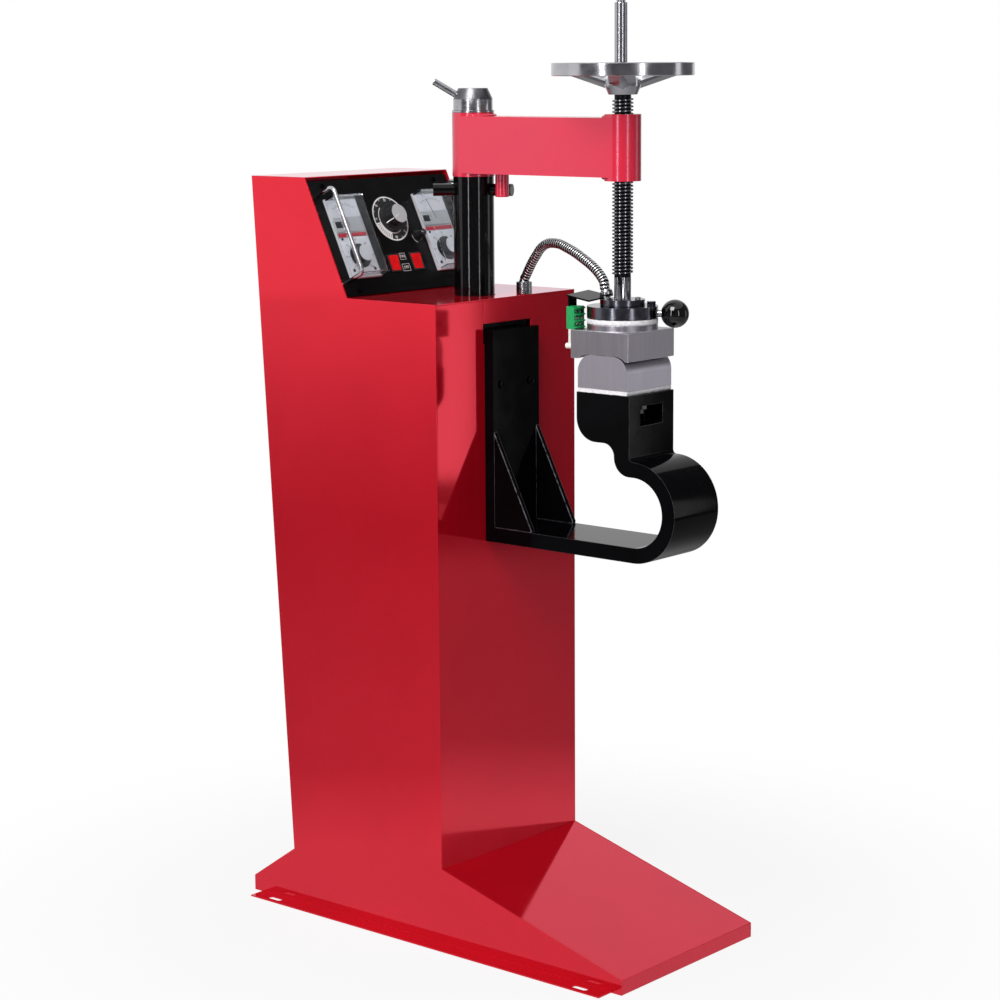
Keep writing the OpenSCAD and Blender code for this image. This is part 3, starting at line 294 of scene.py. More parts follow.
# lower mould, milled: pale grey satin with faint upright cutter lines
milledAluminium = metalFinish("milledAluminium", ("#b1adb7", "#b9b5bf"), 7, (0.3, 0.4), 1.6, 0.003,
                              cutterLines)
# mould edges: near-white metal on the bevels, a painted highlight that draws a thin white glint
mouldEdgePaintedHighlight = metalFinish("rubbedAluminiumEdge", ("#e2e0e8", "#f6f4fa"), 6, (0.34, 0.46))
# painted highlight along the gussets' flame cut edges: grey specks in black
gussetEdgePaintedHighlight = plainFinish("gussetEnamelEdgePaintedHighlight", ("#08080a", "#6e6e74"), 7, (0.25, 0.4))
# painted highlight along the bar's edges: black with a few dull grey stretches
barEdgePaintedHighlight = plainFinish("barEnamelEdgePaintedHighlight", ("#040405", "#2e2e32"), 11, (0.2, 0.3))
# polished cast aluminium wheel: bright, slightly cloudy
polishedAluminium = metalFinish("polishedCastAluminium", ("#a3a3a8", "#b2b2b6"), 24, (0.14, 0.24), 2.0,
                                0.004)
# turned mild steel: bright grey with lathe lines
turnedSteel = metalFinish("turnedSteel", ("#9c9ca1", "#acacb0"), 12, (0.18, 0.26), 1.5, 0.002, latheLines)
# forged steel left as scaled: dull dark grey
darkSteel = metalFinish("forgedScaleSteel", ("#5d5d62", "#6c6c70"), 9, (0.3, 0.4), 1.5, 0.004)
# black oxide steel: dark grey sheen, oily
blackOxide = metalFinish("blackOxideSteel", ("#55555d", "#6a6a72"), 12, (0.16, 0.26), 1.5, 0.004)
# rolled screw thread: dark oily steel
screwSteel = metalFinish("oiledThreadSteel", ("#6c6c71", "#88888d"), 8, (0.14, 0.22))
# chrome plate on bent rod: a bright mirror
chromePlate = metalFinish("chromePlate", ("#a9abae", "#bcbec1"), 20, (0.05, 0.1))
# zinc plated steel screws and gland: grey and slightly frosted
zincPlate = metalFinish("zincPlatedSteel", ("#87898c", "#9fa1a3"), 4, (0.2, 0.34), 0.9, 0.01)
# stripwound galvanised steel conduit: light grey, shiny on every rib
conduitSteel = metalFinish("galvanisedStripSteel", ("#c6c8cb", "#d8dadc"), 5, (0.14, 0.24))
# painted shade in the grooves of the conduit and on the thread below its crests: nearly black steel
groovePaintedShade = metalFinish("oiledStripGroove", ("#121213", "#222224"), 5, (0.3, 0.4))
# cast bronze bush and nut: dull brown gold
bronze = metalFinish("castBronze", ("#8d6a35", "#a07a40"), 6, (0.32, 0.46), 1.0, 0.01)
# compressed mineral fibre board: chalky white, fluffy where it was cut
fibreBoard = plainFinish("mineralFibreBoard", ("#d6d4d7", "#ebe9ec"), 5, (0.85, 0.95), 1.4, 0.5)
# moulded phenolic ball: deep gloss black
phenolic = plainFinish("mouldedPhenolic", ("#040405", "#060607"), 30, (0.04, 0.08), Specular_IOR_Level=0.5)
# moulded ABS in four shades: satin, with a faint leathery grain
blackAbs = plainFinish("blackAbs", ("#111113", "#17171a"), 12, (0.34, 0.44), 0.7, 0.02)
greyAbs = plainFinish("lightGreyAbs", ("#a9aaae", "#b3b4b8"), 14, (0.38, 0.46), 0.7, 0.015)
slateAbs = plainFinish("slateAbs", ("#1b1b21", "#222229"), 10, (0.36, 0.44), 0.7, 0.02)
capAbs = plainFinish("paleGreyAbs", ("#d2d2d6", "#dcdce0"), 10, (0.36, 0.44), 0.7, 0.015)
# moulded polyamide terminal block: strong green, satin
greenPolyamide = plainFinish("greenPolyamide", ("#118a4a", "#1a9a56"), 8, (0.34, 0.44), 0.8, 0.02)
# moulded polycarbonate rockers: clear bright red with a gloss
redPolycarbonate = plainFinish("redPolycarbonate", ("#d20a10", "#e61018"), 9, (0.14, 0.2),
                               Specular_IOR_Level=0.3)
# screen inks and the printed scale: flat, even and rather dull
printWhite = plainFinish("whiteScreenInk", ("#d9d9d8", "#e4e4e3"), 6, (0.5, 0.6))
printBlack = plainFinish("blackScreenInk", ("#151517", "#1c1c1f"), 6, (0.5, 0.6))
printRed = plainFinish("redScreenInk", ("#b21f33", "#bd263a"), 6, (0.5, 0.6))
scalePlate = plainFinish("whitePrintedScale", ("#cfcfd6", "#d9d9df"), 12, (0.4, 0.5))
# woven glass sleeving: matt off-white with a coarse weave
sleeving = plainFinish("glassFibreSleeving", ("#dcdad3", "#e9e7e1"), 3, (0.7, 0.8), 0.7, 0.2)
# moulded acrylic covers: clear, faintly cool, with a sharp glint
clearAcrylic = plainFinish("mouldedClearAcrylic", ("#e9edf0", "#f4f6f7"), 60, (0.03, 0.06), IOR=1.3,
                           Transmission_Weight=1.0)
print("materials ready:", len(bpy.data.materials))

# conduit: route repeated from the part's source, in mm
conduit = {
    "diameter": 14.5,
    "groove": 1.7,
    "crown": 0.12,  # how much a rib rounds off towards its edges
    "ribs": 56,
    "ringsToRib": 4,
    "sides": 20,
    "stepsToKnot": 12,
    "lead": 7.25,  # straight length at each end
    "gland": (53, -14.5, 962),
    "collar": (0, -213, 960.15),
    "collarHeight": 7,
    "lean": 20,
    "between": [(51.3, -20.5, 978.4), (49.3, -27.8, 988.7), (47.4, -35.2, 998.4), (45.3, -43.2, 1006.9),
                (41.6, -57.3, 1020.5), (36.7, -75.5, 1028.2), (30.3, -99.6, 1028.7), (25.1, -119.1, 1024.2),
                (20, -138, 1018.5), (14.4, -159, 1010.2), (9.2, -178.7, 1001.3), (5.2, -193.6, 992),
                (2.2, -204.6, 981.7)],
    "splitAt": 6,  # the point of between where the two halves meet
}


def conduitRoute(c):
    # smooth curve through the knots, upright at the gland and in line with the collar at the head
    up = Vector((0, 0, 1))
    lean = math.radians(c["lean"])
    out = Vector((0, math.sin(lean), math.cos(lean)))
    first = Vector(c["gland"])
    last = Vector(c["collar"]) + out * c["collarHeight"]
    knots = [first + up * c["lead"], *[Vector(p) for p in c["between"]], last + out * c["lead"]]
    line = [first, first.lerp(knots[0], 0.5)]
    marks = []
    for i in range(len(knots) - 1):
        b, d = knots[i], knots[i + 1]
        a = d - 2 * (d - b).length * up if i == 0 else knots[i - 1]
        e = b - 2 * (d - b).length * out if i == len(knots) - 2 else knots[i + 2]
        marks.append(len(line))
        for k in range(c["stepsToKnot"]):
            s = k / c["stepsToKnot"]
            line.append(0.5 * (2 * b + (d - a) * s + (2 * a - 5 * b + 4 * d - e) * s * s
                               + (3 * b - a - 3 * d + e) * s ** 3))
    line += [knots[-1], knots[-1].lerp(last, 0.5), last]
    return [p * mm for p in line], marks


def evenly(line, count):
    # count + 1 points the same distance apart along the line
    reach = [0.0]
    for a, b in zip(line, line[1:]):
        reach.append(reach[-1] + (b - a).length)
    points, k = [], 0
    for i in range(count + 1):
        want = reach[-1] * i / count
        while k < len(line) - 2 and reach[k + 1] < want:
            k += 1
        points.append(line[k].lerp(line[k + 1], (want - reach[k]) / (reach[k + 1] - reach[k])))
    return points


def ribbedTube(name, points, c):
    # four rings to a rib: a narrow groove, then a rounded strip
    profile = (-c["groove"], -c["crown"], 0.0, -c["crown"])
    flanks = (0, c["ringsToRib"] - 1)
    across = Vector((0, 0, 1)).cross(points[-1] - points[0]).normalized()
    mesh = bmesh.new()
    rings = []
    for i, p in enumerate(points):
        heading = (points[min(i + 1, len(points) - 1)] - points[max(i - 1, 0)]).normalized()
        u = (across - across.dot(heading) * heading).normalized()
        v = heading.cross(u)
        r = (c["diameter"] / 2 + profile[i % c["ringsToRib"]]) * mm
        turn = [2 * math.pi * k / c["sides"] for k in range(c["sides"])]
        rings.append([mesh.verts.new(p + r * (math.cos(t) * u + math.sin(t) * v)) for t in turn])
    for low, high in zip(rings, rings[1:]):
        for k in range(c["sides"]):
            n = (k + 1) % c["sides"]
            mesh.faces.new((low[k], low[n], high[n], high[k]))
    mesh.faces.new(list(reversed(rings[0])))
    mesh.faces.new(rings[-1])
    data = bpy.data.meshes.new(name)
    mesh.to_mesh(data)
    mesh.free()
    tube = bpy.data.objects.new(name, data)
    bpy.context.scene.collection.objects.link(tube)
    paint(tube, conduitSteel, groovePaintedShade)
    # the faces on both flanks of each groove take the dark second finish, a painted shade
    for i, face in enumerate(data.polygons):
        face.use_smooth = len(face.vertices) == 4
        face.material_index = int(face.use_smooth and i // c["sides"] % c["ringsToRib"] in flanks)
    return tube


def lengthOf(points):
    return sum((b - a).length for a, b in zip(points, points[1:]))


route, knotMarks = conduitRoute(conduit)
steps = evenly(route, conduit["ribs"] * conduit["ringsToRib"])
splitPoint = route[knotMarks[conduit["splitAt"] + 1]]
wholeRibs = range(0, len(steps), conduit["ringsToRib"])
splitStep = min(wholeRibs, key=lambda i: (steps[i] - splitPoint).length)
lowerRun, upperRun = steps[:splitStep + 1], steps[splitStep:]
lowerConduit = ribbedTube("conduitFromLedge", lowerRun, conduit)
upperConduit = ribbedTube("conduitToHead", upperRun, conduit)
for tube, run, bodies in ((lowerConduit, lowerRun, ("cabinet", "arm")),
                          (upperConduit, upperRun, ("arm", "head"))):
    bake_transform(tube)
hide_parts("heater_conduit")
print("conduit runs:", round(lengthOf(lowerRun), 3), round(lengthOf(upperRun), 3))

# bright ferrule over the head's collar, where the conduit ends
ferrule = {"inner": 7.6, "outer": 9.15, "low": 2.2, "high": 8.6, "ease": 0.6, "sides": 40}


def makeFerrule(f, c):
    ring = named(cylinder(0, 0, f["outer"], f["low"], f["high"], f["sides"]), "conduitFerrule")

    def isEnd(face):
        return abs(face.normal.z) > 0.9

    def isMiddle(face):
        return isEnd(face) and len(face.verts) == f["sides"]

    shape(ring, "FACE", isEnd, bpy.ops.mesh.inset, thickness=(f["outer"] - f["inner"]) * mm)
    shape(ring, "FACE", isMiddle, bpy.ops.mesh.bridge_edge_loops)
    modify(ring, "BEVEL", width=f["ease"] * mm, segments=2, limit_method="ANGLE",
           angle_limit=math.radians(50))
    ring.data.transform(Matrix.Translation([v * mm for v in c["collar"]])
                        @ Matrix.Rotation(-math.radians(c["lean"]), 4, "X"))
    dress(ring, zincPlate, "head", 35)


makeFerrule(ferrule, conduit)

# CAD nodes with their hard edges eased: a merged copy, bevelled, stands for the node
edges = {
    "flat": 0.5,  # faces closer to one plane than this, in degrees, are joined
    "hard": 35,  # edges sharper than this are bevelled
    "smooth": 32,
    "weight": 60,
}


def eased(node, finish, width):
    words = node.split("_")
    piece = cadCopy(node, words[0] + "".join(w.title() for w in words[1:]))
    # a node's second finish goes on its bevel faces, a painted highlight along the edges
    edgeHighlight = [paintedEdgeHighlights[node]] if node in paintedEdgeHighlights else []
    paint(piece, finish, *edgeHighlight)
    shape(piece, "FACE", everything, bpy.ops.mesh.dissolve_limited, angle_limit=math.radians(edges["flat"]))
    if width:
        modify(piece, "BEVEL", width=width * mm, segments=2, limit_method="ANGLE",
               angle_limit=math.radians(edges["hard"]), miter_outer="MITER_ARC", use_clamp_overlap=True,
               material=1 if edgeHighlight else -1)
    smooth(piece, edges["smooth"])
    modify(piece, "WEIGHTED_NORMAL", keep_sharp=True, weight=edges["weight"])
    standsFor(piece, node)
    return piece


# second finish on the eased edges: a painted highlight along them
paintedEdgeHighlights = {"lower_mould": mouldEdgePaintedHighlight, "upper_mould": mouldEdgePaintedHighlight, "bracket_gussets": gussetEdgePaintedHighlight,
             "lower_arm": barEdgePaintedHighlight}
easing = {  # finish and edge width in mm
    redEnamel: {"left_side_panel": 0.8, "right_side_panel": 0.8, "front_panel": 0.5, "slot_filler": 0.5,
                "ledge_plate": 0.6, "ramp_plate": 0.6, "rear_base_plate": 0.6, "rear_panel": 0.6,
                "console_top": 0.7},
    armEnamel: {"swing_arm": 2.0, "stop_lug": 1.0},
    postEnamelPaintedSheen: {"post": 1.0},
    blackEnamel: {"bracket_plate": 1.2, "bracket_gussets": 1.0, "lower_arm": 1.6,
                  "terminal_bracket": 0.4, "frame_spine": 0.8, "bracket_bolts": 0.5, "panel_screws": 0.5},
    panelLacquer: {"control_panel": 0.4},
    zincPlate: {"retainer_screws": 0.4, "ledge_gland": 0.6},
    darkSteel: {"mould_bolt": 0.5},
    chromePlate: {"guard_handles": 0},
    greyAbs: {"controllers": 0.8},
    clearAcrylic: {"controller_covers": 0.7},
    slateAbs: {"left_setpoint_knob": 0.6, "right_setpoint_knob": 0.6},
    blackAbs: {"timer_body": 0.3, "switch_frames": 0.5, "selector_knob": 0.5, "rear_gland": 0.6},
    turnedSteel: {"timer_knob": 0.6, "clamp_nut": 0.8, "clamp_lever": 0.8, "pivot_stud": 0.6,
                  "lower_heaters": 0.4, "upper_heaters": 0.4, "thrust_bearing": 0.4, "lock_lever": 0.5,
                  "crank_stud": 0.5, "crank_grip": 0.9},
    redPolycarbonate: {"left_rocker": 0.5, "right_rocker": 0.5},
    bronze: {"arm_bush": 0.5, "screw_nut": 0.5},
    milledAluminium: {"lower_mould": 2.0},
    darkMould: {"upper_mould": 1.6},
    fibreBoard: {"lower_insulation": 0.6, "upper_insulation": 1.5},
    blackOxide: {"bearing_housing": 0.5, "retainer_plate": 0.8, "lock_ring": 0.9, "lock_bolt": 0.6},
    greenPolyamide: {"terminal_block": 0.6},
    sleeving: {"heater_leads": 0.3},
    phenolic: {"ball_knob": 0.4},
    polishedAluminium: {"handwheel": 0.5},
}
made = {node: eased(node, finish, width) for finish, group in easing.items()
        for node, width in group.items()}
print("eased pieces:", len(made), "others:", sorted(set(cadNodes) - set(made)))

# screw: the plain lower end from the CAD solid, a core and a true thread above it
screwThread = {
    "axis": -240,
    "start": 989.9,
    "hub": 1244,
    "top": 1266,
    "pitch": 5.0,
    "core": 11.8,
    "crest": 15.0,
    "flank": (0.0, 1.83, 2.5, 4.33, 5.0),  # heights of root, root, crest, crest and root in one pitch
    "steps": 32,
    "sides": 48,
    "sunk": 0.02,  # the core lies this far under the roots
    "near": 0.1,  # room left when picking faces and verts by their place
}


def makeThread(c, turns):
    # one pitch of the flank, from root to root, wound up the core
    rims = (c["core"], c["core"], c["crest"], c["crest"], c["core"])
    pickOnly()
    bpy.ops.mesh.primitive_circle_add(vertices=len(rims), radius=1)
    thread = bpy.context.active_object
    shape(thread, "EDGE", lambda e: {0, len(rims) - 1} == {v.index for v in e.verts}, bpy.ops.mesh.delete,
          type="EDGE")
    for vert, r, z in zip(thread.data.vertices, rims, c["flank"]):
        vert.co = (r * mm, 0, z * mm)
    modify(thread, "SCREW", angle=2 * math.pi, screw_offset=c["pitch"] * mm, iterations=turns,
           steps=c["steps"], render_steps=c["steps"], axis="Z")
    weldVerts(thread)
    for foot in (0, turns * c["pitch"]):  # closing face at each end of the thread
        low, high = foot + c["flank"][1] - c["near"], foot + c["flank"][-1] + c["near"]
        shape(thread, "VERT", lambda v: v.is_boundary and abs(v.co.y) < sameSpot * mm and v.co.x > 0
              and low < v.co.z / mm < high, bpy.ops.mesh.edge_face_add)
    shape(thread, "FACE", everything, bpy.ops.mesh.normals_make_consistent, inside=False)
    thread.data.transform(Matrix.Translation((0, c["axis"] * mm, c["start"] * mm)))
    return thread


def makeScrew(c):
    lower = cadCopy("screw", "screwEnd")
    shape(lower, "FACE", everything, bpy.ops.mesh.bisect, plane_co=(0, 0, c["start"] * mm),
          plane_no=(0, 0, 1), clear_outer=True, use_fill=True)
    core = cylinder(0, c["axis"], c["core"] - c["sunk"], c["start"], c["top"], c["sides"])
    turns = int((c["hub"] - c["start"]) // c["pitch"]) - 1
    screw = joined("screwWithThread", [lower, core, makeThread(c, turns)])
    smooth(screw, edges["smooth"])
    paint(screw, screwSteel, groovePaintedShade)
    for face in screw.data.polygons:  # painted shade: all faces below the crests take the dark second finish
        away = math.hypot(face.center.x, face.center.y - c["axis"] * mm) / mm
        face.material_index = int(face.center.z > c["start"] * mm and away < c["crest"] - 3 * c["near"])
    standsFor(screw, "screw")
    print("screw thread:", turns, "turns", len(screw.data.polygons), "faces")


makeScrew(screwThread)

# cut edges of the fibre boards, loose and fluffy
fray = {"grid": 1.3, "lump": 3.5, "depth": 1.3}


def frayed(piece, c):
    lumps = bpy.data.textures.new(piece.name + "Lumps", "CLOUDS")
    lumps.noise_scale = c["lump"] * mm
    modify(piece, "REMESH", mode="VOXEL", voxel_size=c["grid"] * mm)
    modify(piece, "DISPLACE", texture=lumps, strength=c["depth"] * mm, mid_level=0.55)
    smooth(piece, 50)


for board in ("upper_insulation", "lower_insulation"):
    frayed(made[board], fray)

# weld beads where the arm's round ends meet its web: y, radius, z, and the side that the web is on
armWelds = {
    "bead": 3.2,
    "out": 0.8,
    "span": 0.88,  # half width of a run, as a share of the radius
    "ripple": 0.7,
    "rippleSize": 4,
    "runs": [(37, 31, 1212, -1), (-240, 26, 1212, 1), (-240, 26, 1129.5, 1)],
}


def weldRun(c, y, r, z, way):
    pickOnly()
    bpy.ops.mesh.primitive_torus_add(major_radius=(r + c["out"]) * mm, minor_radius=c["bead"] * mm,
                                     major_segments=120, minor_segments=12, location=(0, y * mm, z * mm))
    bead = bpy.context.active_object
    settle(bead)
    half = c["span"] * r * mm
    for co, no in (((half, 0, 0), (1, 0, 0)), ((-half, 0, 0), (-1, 0, 0)), ((0, y * mm, 0), (0, -way, 0))):
        shape(bead, "FACE", everything, bpy.ops.mesh.bisect, plane_co=co, plane_no=no, clear_outer=True,
              use_fill=True)
    ripples = bpy.data.textures.new("weldRipples", "CLOUDS")
    ripples.noise_scale = c["rippleSize"] * mm
    modify(bead, "DISPLACE", texture=ripples, strength=c["ripple"] * mm)
    return bead


welds = joined("armWelds", [weldRun(armWelds, *run) for run in armWelds["runs"]])
dress(welds, armEnamel, "arm", 60)
print("boards frayed and arm welded")

# console details, modelled flat in mm and then laid on the sloping panel
console = {"foot": (0, 148, 950), "rise": 174, "run": 83, "sunk": 3}
consoleFrame = (Matrix.Translation([v * mm for v in console["foot"]])
                @ Matrix.Rotation(math.atan2(console["rise"], console["run"]), 4, "X")
                @ Matrix.Translation((0, 0, -console["sunk"] * mm)))


def plate(u, v, w, l, low, high, corner=0.0, ease=0.0):
    pickOnly()
    bpy.ops.mesh.primitive_cube_add(size=1, location=(u * mm, v * mm, (low + high) / 2 * mm))
    obj = bpy.context.active_object
    obj.scale = (w * mm, l * mm, (high - low) * mm)
    settle(obj)

    def upright(edge):
        return abs(edge.verts[0].co.z - edge.verts[1].co.z) > (high - low) / 2 * mm

    if corner:
        shape(obj, "EDGE", upright, bpy.ops.mesh.bevel, offset=corner * mm, segments=4, affect="EDGES")
    if ease:
        shape(obj, "FACE", facesUp, bpy.ops.mesh.bevel, offset=ease * mm, segments=2, affect="EDGES")
    return obj


def disc(u, v, r, low, high, ease=0.2, sides=32):
    obj = cylinder(u, v, r, low, high, sides)
    shape(obj, "FACE", facesUp, bpy.ops.mesh.bevel, offset=ease * mm, segments=2, affect="EDGES")
    return obj


def laidAt(obj, u, v, h=0.0, turn=0.0):
    obj.data.transform(Matrix.Translation((u * mm, v * mm, h * mm))
                       @ Matrix.Rotation(math.radians(turn), 4, "Z"))
    return obj


def bar(u, v, reach0, reach1, turn, width, low, high):
    # printed stroke from reach0 to reach1 along a direction, in degrees
    return laidAt(plate((reach0 + reach1) / 2, 0, reach1 - reach0, width, low, high), u, v, 0, turn)


def band(u, v, r0, r1, start, stop, low, high, steps=48):
    # flat printed arc: an edge spun about the middle, then raised
    pickOnly()
    bpy.ops.mesh.primitive_plane_add(size=1, location=(0, 0, 0))
    obj = bpy.context.active_object
    shape(obj, "EDGE", lambda e: min(end.co.x for end in e.verts) < 0, bpy.ops.mesh.delete, type="EDGE")
    for vert, r in zip(obj.data.vertices, (r0, r1)):
        vert.co = (r * mm, 0, low * mm)
    obj.data.transform(Matrix.Rotation(math.radians(start), 4, "Z"))
    shape(obj, "EDGE", everything, bpy.ops.mesh.spin, steps=steps, angle=-math.radians(stop - start),
          center=(0, 0, 0), axis=(0, 0, 1))
    weldVerts(obj)
    shape(obj, "FACE", everything, bpy.ops.mesh.extrude_region_move,
          TRANSFORM_OT_translate={"value": (0, 0, (high - low) * mm)})
    shape(obj, "FACE", everything, bpy.ops.mesh.normals_make_consistent, inside=False)
    return laidAt(obj, u, v)


def lettering(words, u, v, size, h):
    pickOnly()
    bpy.ops.object.text_add(location=(0, 0, 0))
    text = bpy.context.active_object.data
    text.body = words
    text.size = size * mm
    text.align_x = "CENTER"
    text.align_y = "CENTER"
    text.extrude = 0.05 * mm
    text.resolution_u = 3
    bpy.ops.object.convert(target="MESH")
    return laidAt(bpy.context.active_object, u, v, h)


def around(u, v, away, turn):
    # the place that is away mm from (u, v), in the direction turn
    return u + away * math.cos(math.radians(turn)), v + away * math.sin(math.radians(turn))


def onConsole(name, parts, finish, body="cabinet"):
    obj = joined(name, parts)
    obj.data.transform(consoleFrame)
    dress(obj, finish, body, 30)


def twoTone(piece, finish, isOther):
    # second finish on the faces that isOther() picks
    piece.data.materials.append(finish)
    for face in piece.data.polygons:
        face.material_index = int(isOther(face))


def higher(above):
    # picks the faces that stand more than above mm over the console
    back = consoleFrame.inverted()
    return lambda face: (back @ face.center).z > above * mm


knobCaps = {"timer_knob": (greyAbs, 20.5), "left_setpoint_knob": (capAbs, 16.4),
            "right_setpoint_knob": (capAbs, 16.4)}
for knob, (cap, above) in knobCaps.items():
    twoTone(made[knob], cap, higher(above))
made["timer_knob"].data.materials[0] = blackAbs
# painted shade: the nut's cone, picked by the slope of its faces, gets the darker steel
twoTone(made["clamp_nut"], darkSteel, lambda face: 0.15 < face.normal.z < 0.9)

timer = {
    "middle": (-4.5, 119),
    "face": 1.0,
    "ring": (34, 36, 0, 359.9, 1.0, 1.12, 96),  # ring, arc and field as band() takes them
    "arc": (22.9, 24.4, 129, 304, 1.0, 1.1),
    "from": 178,
    "sweep": 269,
    "marks": 12,
    "mark": (31.5, 34),
    "minutes": 5,
    "digits": 30,
    "digitSize": 5.4,
    "field": (24.4, 35, 190, 253, 1.0, 1.08),
    "fieldMark": (27, 33),
    "fieldFrom": 195,
    "fieldStep": 6.6,
    "fieldMarks": 9,
    "pointer": 205,
    # from, to, width, low and high of the stroke on the skirt, up the side and over the cap
    "strokes": [(15.6, 21.8, 1.6, 8.3, 8.6), (15.4, 16.2, 1.6, 8.3, 20.5), (2.0, 15.4, 0.8, 22.2, 22.5)],
}


def printTimer(c):
    middle = c["middle"]
    scale = [band(*middle, *c["ring"]), band(*middle, *c["arc"])]
    for i in range(c["marks"] + 1):
        turn = c["from"] - c["sweep"] * i / c["marks"]
        scale.append(bar(*middle, *c["mark"], turn, 1.0, c["face"], c["face"] + 0.1))
        if i % 2 == 0:
            place = around(*middle, c["digits"], turn)
            scale.append(lettering(str(c["minutes"] * i), *place, c["digitSize"], c["face"] + 0.06))
    onConsole("timerScale", scale, printWhite)
    onConsole("timerField", [band(*middle, *c["field"])], printWhite)
    low = c["field"][-1]
    fieldMarks = [bar(*middle, *c["fieldMark"], c["fieldFrom"] + c["fieldStep"] * i, 0.7, low, low + 0.08)
                  for i in range(c["fieldMarks"])]
    onConsole("timerFieldMarks", fieldMarks, printBlack)
    pointer = [bar(*middle, near, far, c["pointer"], *rest) for near, far, *rest in c["strokes"]]
    onConsole("timerPointer", pointer, printWhite, "timer_dial")


printTimer(timer)

selector = {
    "middle": (41.5, 88.4),
    "pointer": (1.2, 5.2, 165, 0.9, 15.7, 15.95),  # as bar() takes them
    "arc": (10.2, 11, 165, 255, 0.0, 0.1),  # as band() takes them
}
onConsole("selectorPointer", [bar(*selector["middle"], *selector["pointer"])], printWhite,
          "selector")
onConsole("selectorArc", [band(*selector["middle"], *selector["arc"])], printWhite)

# words in a thin frame: u, v, width and length
switchWords = {"ON": (-6.2, 57.7, 12, 10), "OFF": (-5.9, 39.8, 16, 11)}
switchPrint = {"size": 6.4, "line": 0.5, "ink": 0.1, "level": 0.06}


def framedWord(words, u, v, w, l, c):
    parts = [lettering(words, u, v, c["size"], c["level"])]
    for way in (1, -1):
        parts.append(plate(u, v + way * l / 2, w, c["line"], 0, c["ink"]))
        parts.append(plate(u + way * w / 2, v, c["line"], l, 0, c["ink"]))
    return parts


onConsole("switchWords", [part for words, place in switchWords.items()
                          for part in framedWord(words, *place, switchPrint)], printWhite)

controller = {
    "left": -101,
    "right": 92,
    "face": 4.0,
    "wide": 60,
    "scales": [(139, 28), (61.5, 63)],  # v and length
    "scaleRise": 0.5,
    "apron": (113.5, 23),
    "apronRise": 1.4,
    "stripe": (97, 6),
    "marks": 12,
    "line": 0.7,
    "ink": 0.06,
    "pivot": 110,
    "meterFrom": 124,
    "meterSweep": 68,
    "meterMark": (34, 38, 36.2),  # from, to for a long one, to for a short one
    "needle": (2, 36, 104),
    "knob": 62.9,
    "knobFrom": 225,
    "knobSweep": 270,
    "knobMark": (20.6, 23.4, 22),
    "degrees": 50,
    "digits": 7,
    "digitsAway": (26.4, 26),
    "digitSize": 3.6,
    "badge": (-21, 113.5, 14, 10),
    "screws": [(-21.5, 41), (21.5, 41)],
    "screwRadius": 2.6,
    "lamp": (-24, 91),
    "lampRadius": 2.0,
}


def ringMarks(c, u, v, span, start, sweep, low):
    near, far, short = span
    parts = []
    for i in range(c["marks"] + 1):
        turn = start - sweep * i / c["marks"]
        parts.append(bar(u, v, near, short if i % 2 else far, turn, c["line"], low, low + c["ink"]))
    return parts


def dressController(side, c):
    u, h, wide = c[side], c["face"], c["wide"]
    top, apron = h + c["scaleRise"], h + c["apronRise"]
    scales = [plate(u, v, wide, l, h, top, 2, 0.2) for v, l in c["scales"]]
    onConsole(side + "MeterScale", scales, scalePlate)
    v, l = c["apron"]
    onConsole(side + "MeterApron", [plate(u, v, wide, l, h, apron, 2, 0.5)], greyAbs)
    marks = ringMarks(c, u, c["pivot"], c["meterMark"], c["meterFrom"], c["meterSweep"], top)
    marks += ringMarks(c, u, c["knob"], c["knobMark"], c["knobFrom"], c["knobSweep"], top)
    for i in range(c["digits"]):
        turn = math.radians(c["knobFrom"] - c["knobSweep"] * i / (c["digits"] - 1))
        across, along = c["digitsAway"]
        marks.append(lettering(str(c["degrees"] * i), u + across * math.cos(turn),
                               c["knob"] + along * math.sin(turn), c["digitSize"], top + c["ink"] / 2))
    x, v, w, l = c["badge"]
    marks.append(plate(u + x, v, w, l, apron, apron + 0.4, 0.8, 0.2))
    marks += [disc(u + x, v, c["screwRadius"], h + 0.3, h + 1.2) for x, v in c["screws"]]
    marks.append(bar(u, c["pivot"], *c["needle"], c["line"], apron + 0.1, apron + 0.4))
    marks.append(disc(u + c["lamp"][0], c["lamp"][1], c["lampRadius"], h + 0.3, apron))
    onConsole(side + "MeterMarks", marks, printBlack)
    v, l = c["stripe"]
    stripe = plate(u, v, wide - 2, l, h, top + 0.05, 0.6, 0.2)
    onConsole(side + "MeterStripe", [stripe], printRed)


for side in ("left", "right"):
    dressController(side, controller)

# terminal block: ribs between the terminals and their screws, on the face towards the ring
terminals = {
    "corner": (-50, -192, 916.7),
    "wide": 24,
    "ribs": (2.5, 11.5, 20.5, 29.5),
    "rib": (2.2, -0.2, 2.4, 0, 0.4),  # width, low, high, corner, eased edge
    "screws": [(u, v) for v in (7, 16, 25) for u in (6, 16)],
    "screw": (2.6, -0.2, 1.5, 0.3, 20),  # radius, low, high, eased edge, sides
}


def onTerminals(name, parts, finish):
    piece = joined(name, parts)
    piece.data.transform(Matrix.Translation([v * mm for v in terminals["corner"]])
                         @ Matrix.Rotation(math.pi / 2, 4, "X"))
    dress(piece, finish, "head", 30)


onTerminals("terminalRibs", [plate(terminals["wide"] / 2, v, terminals["wide"] - 1, *terminals["rib"])
                             for v in terminals["ribs"]], greenPolyamide)
onTerminals("terminalScrews", [disc(*spot, *terminals["screw"]) for spot in terminals["screws"]], zincPlate)
print("console dressed")

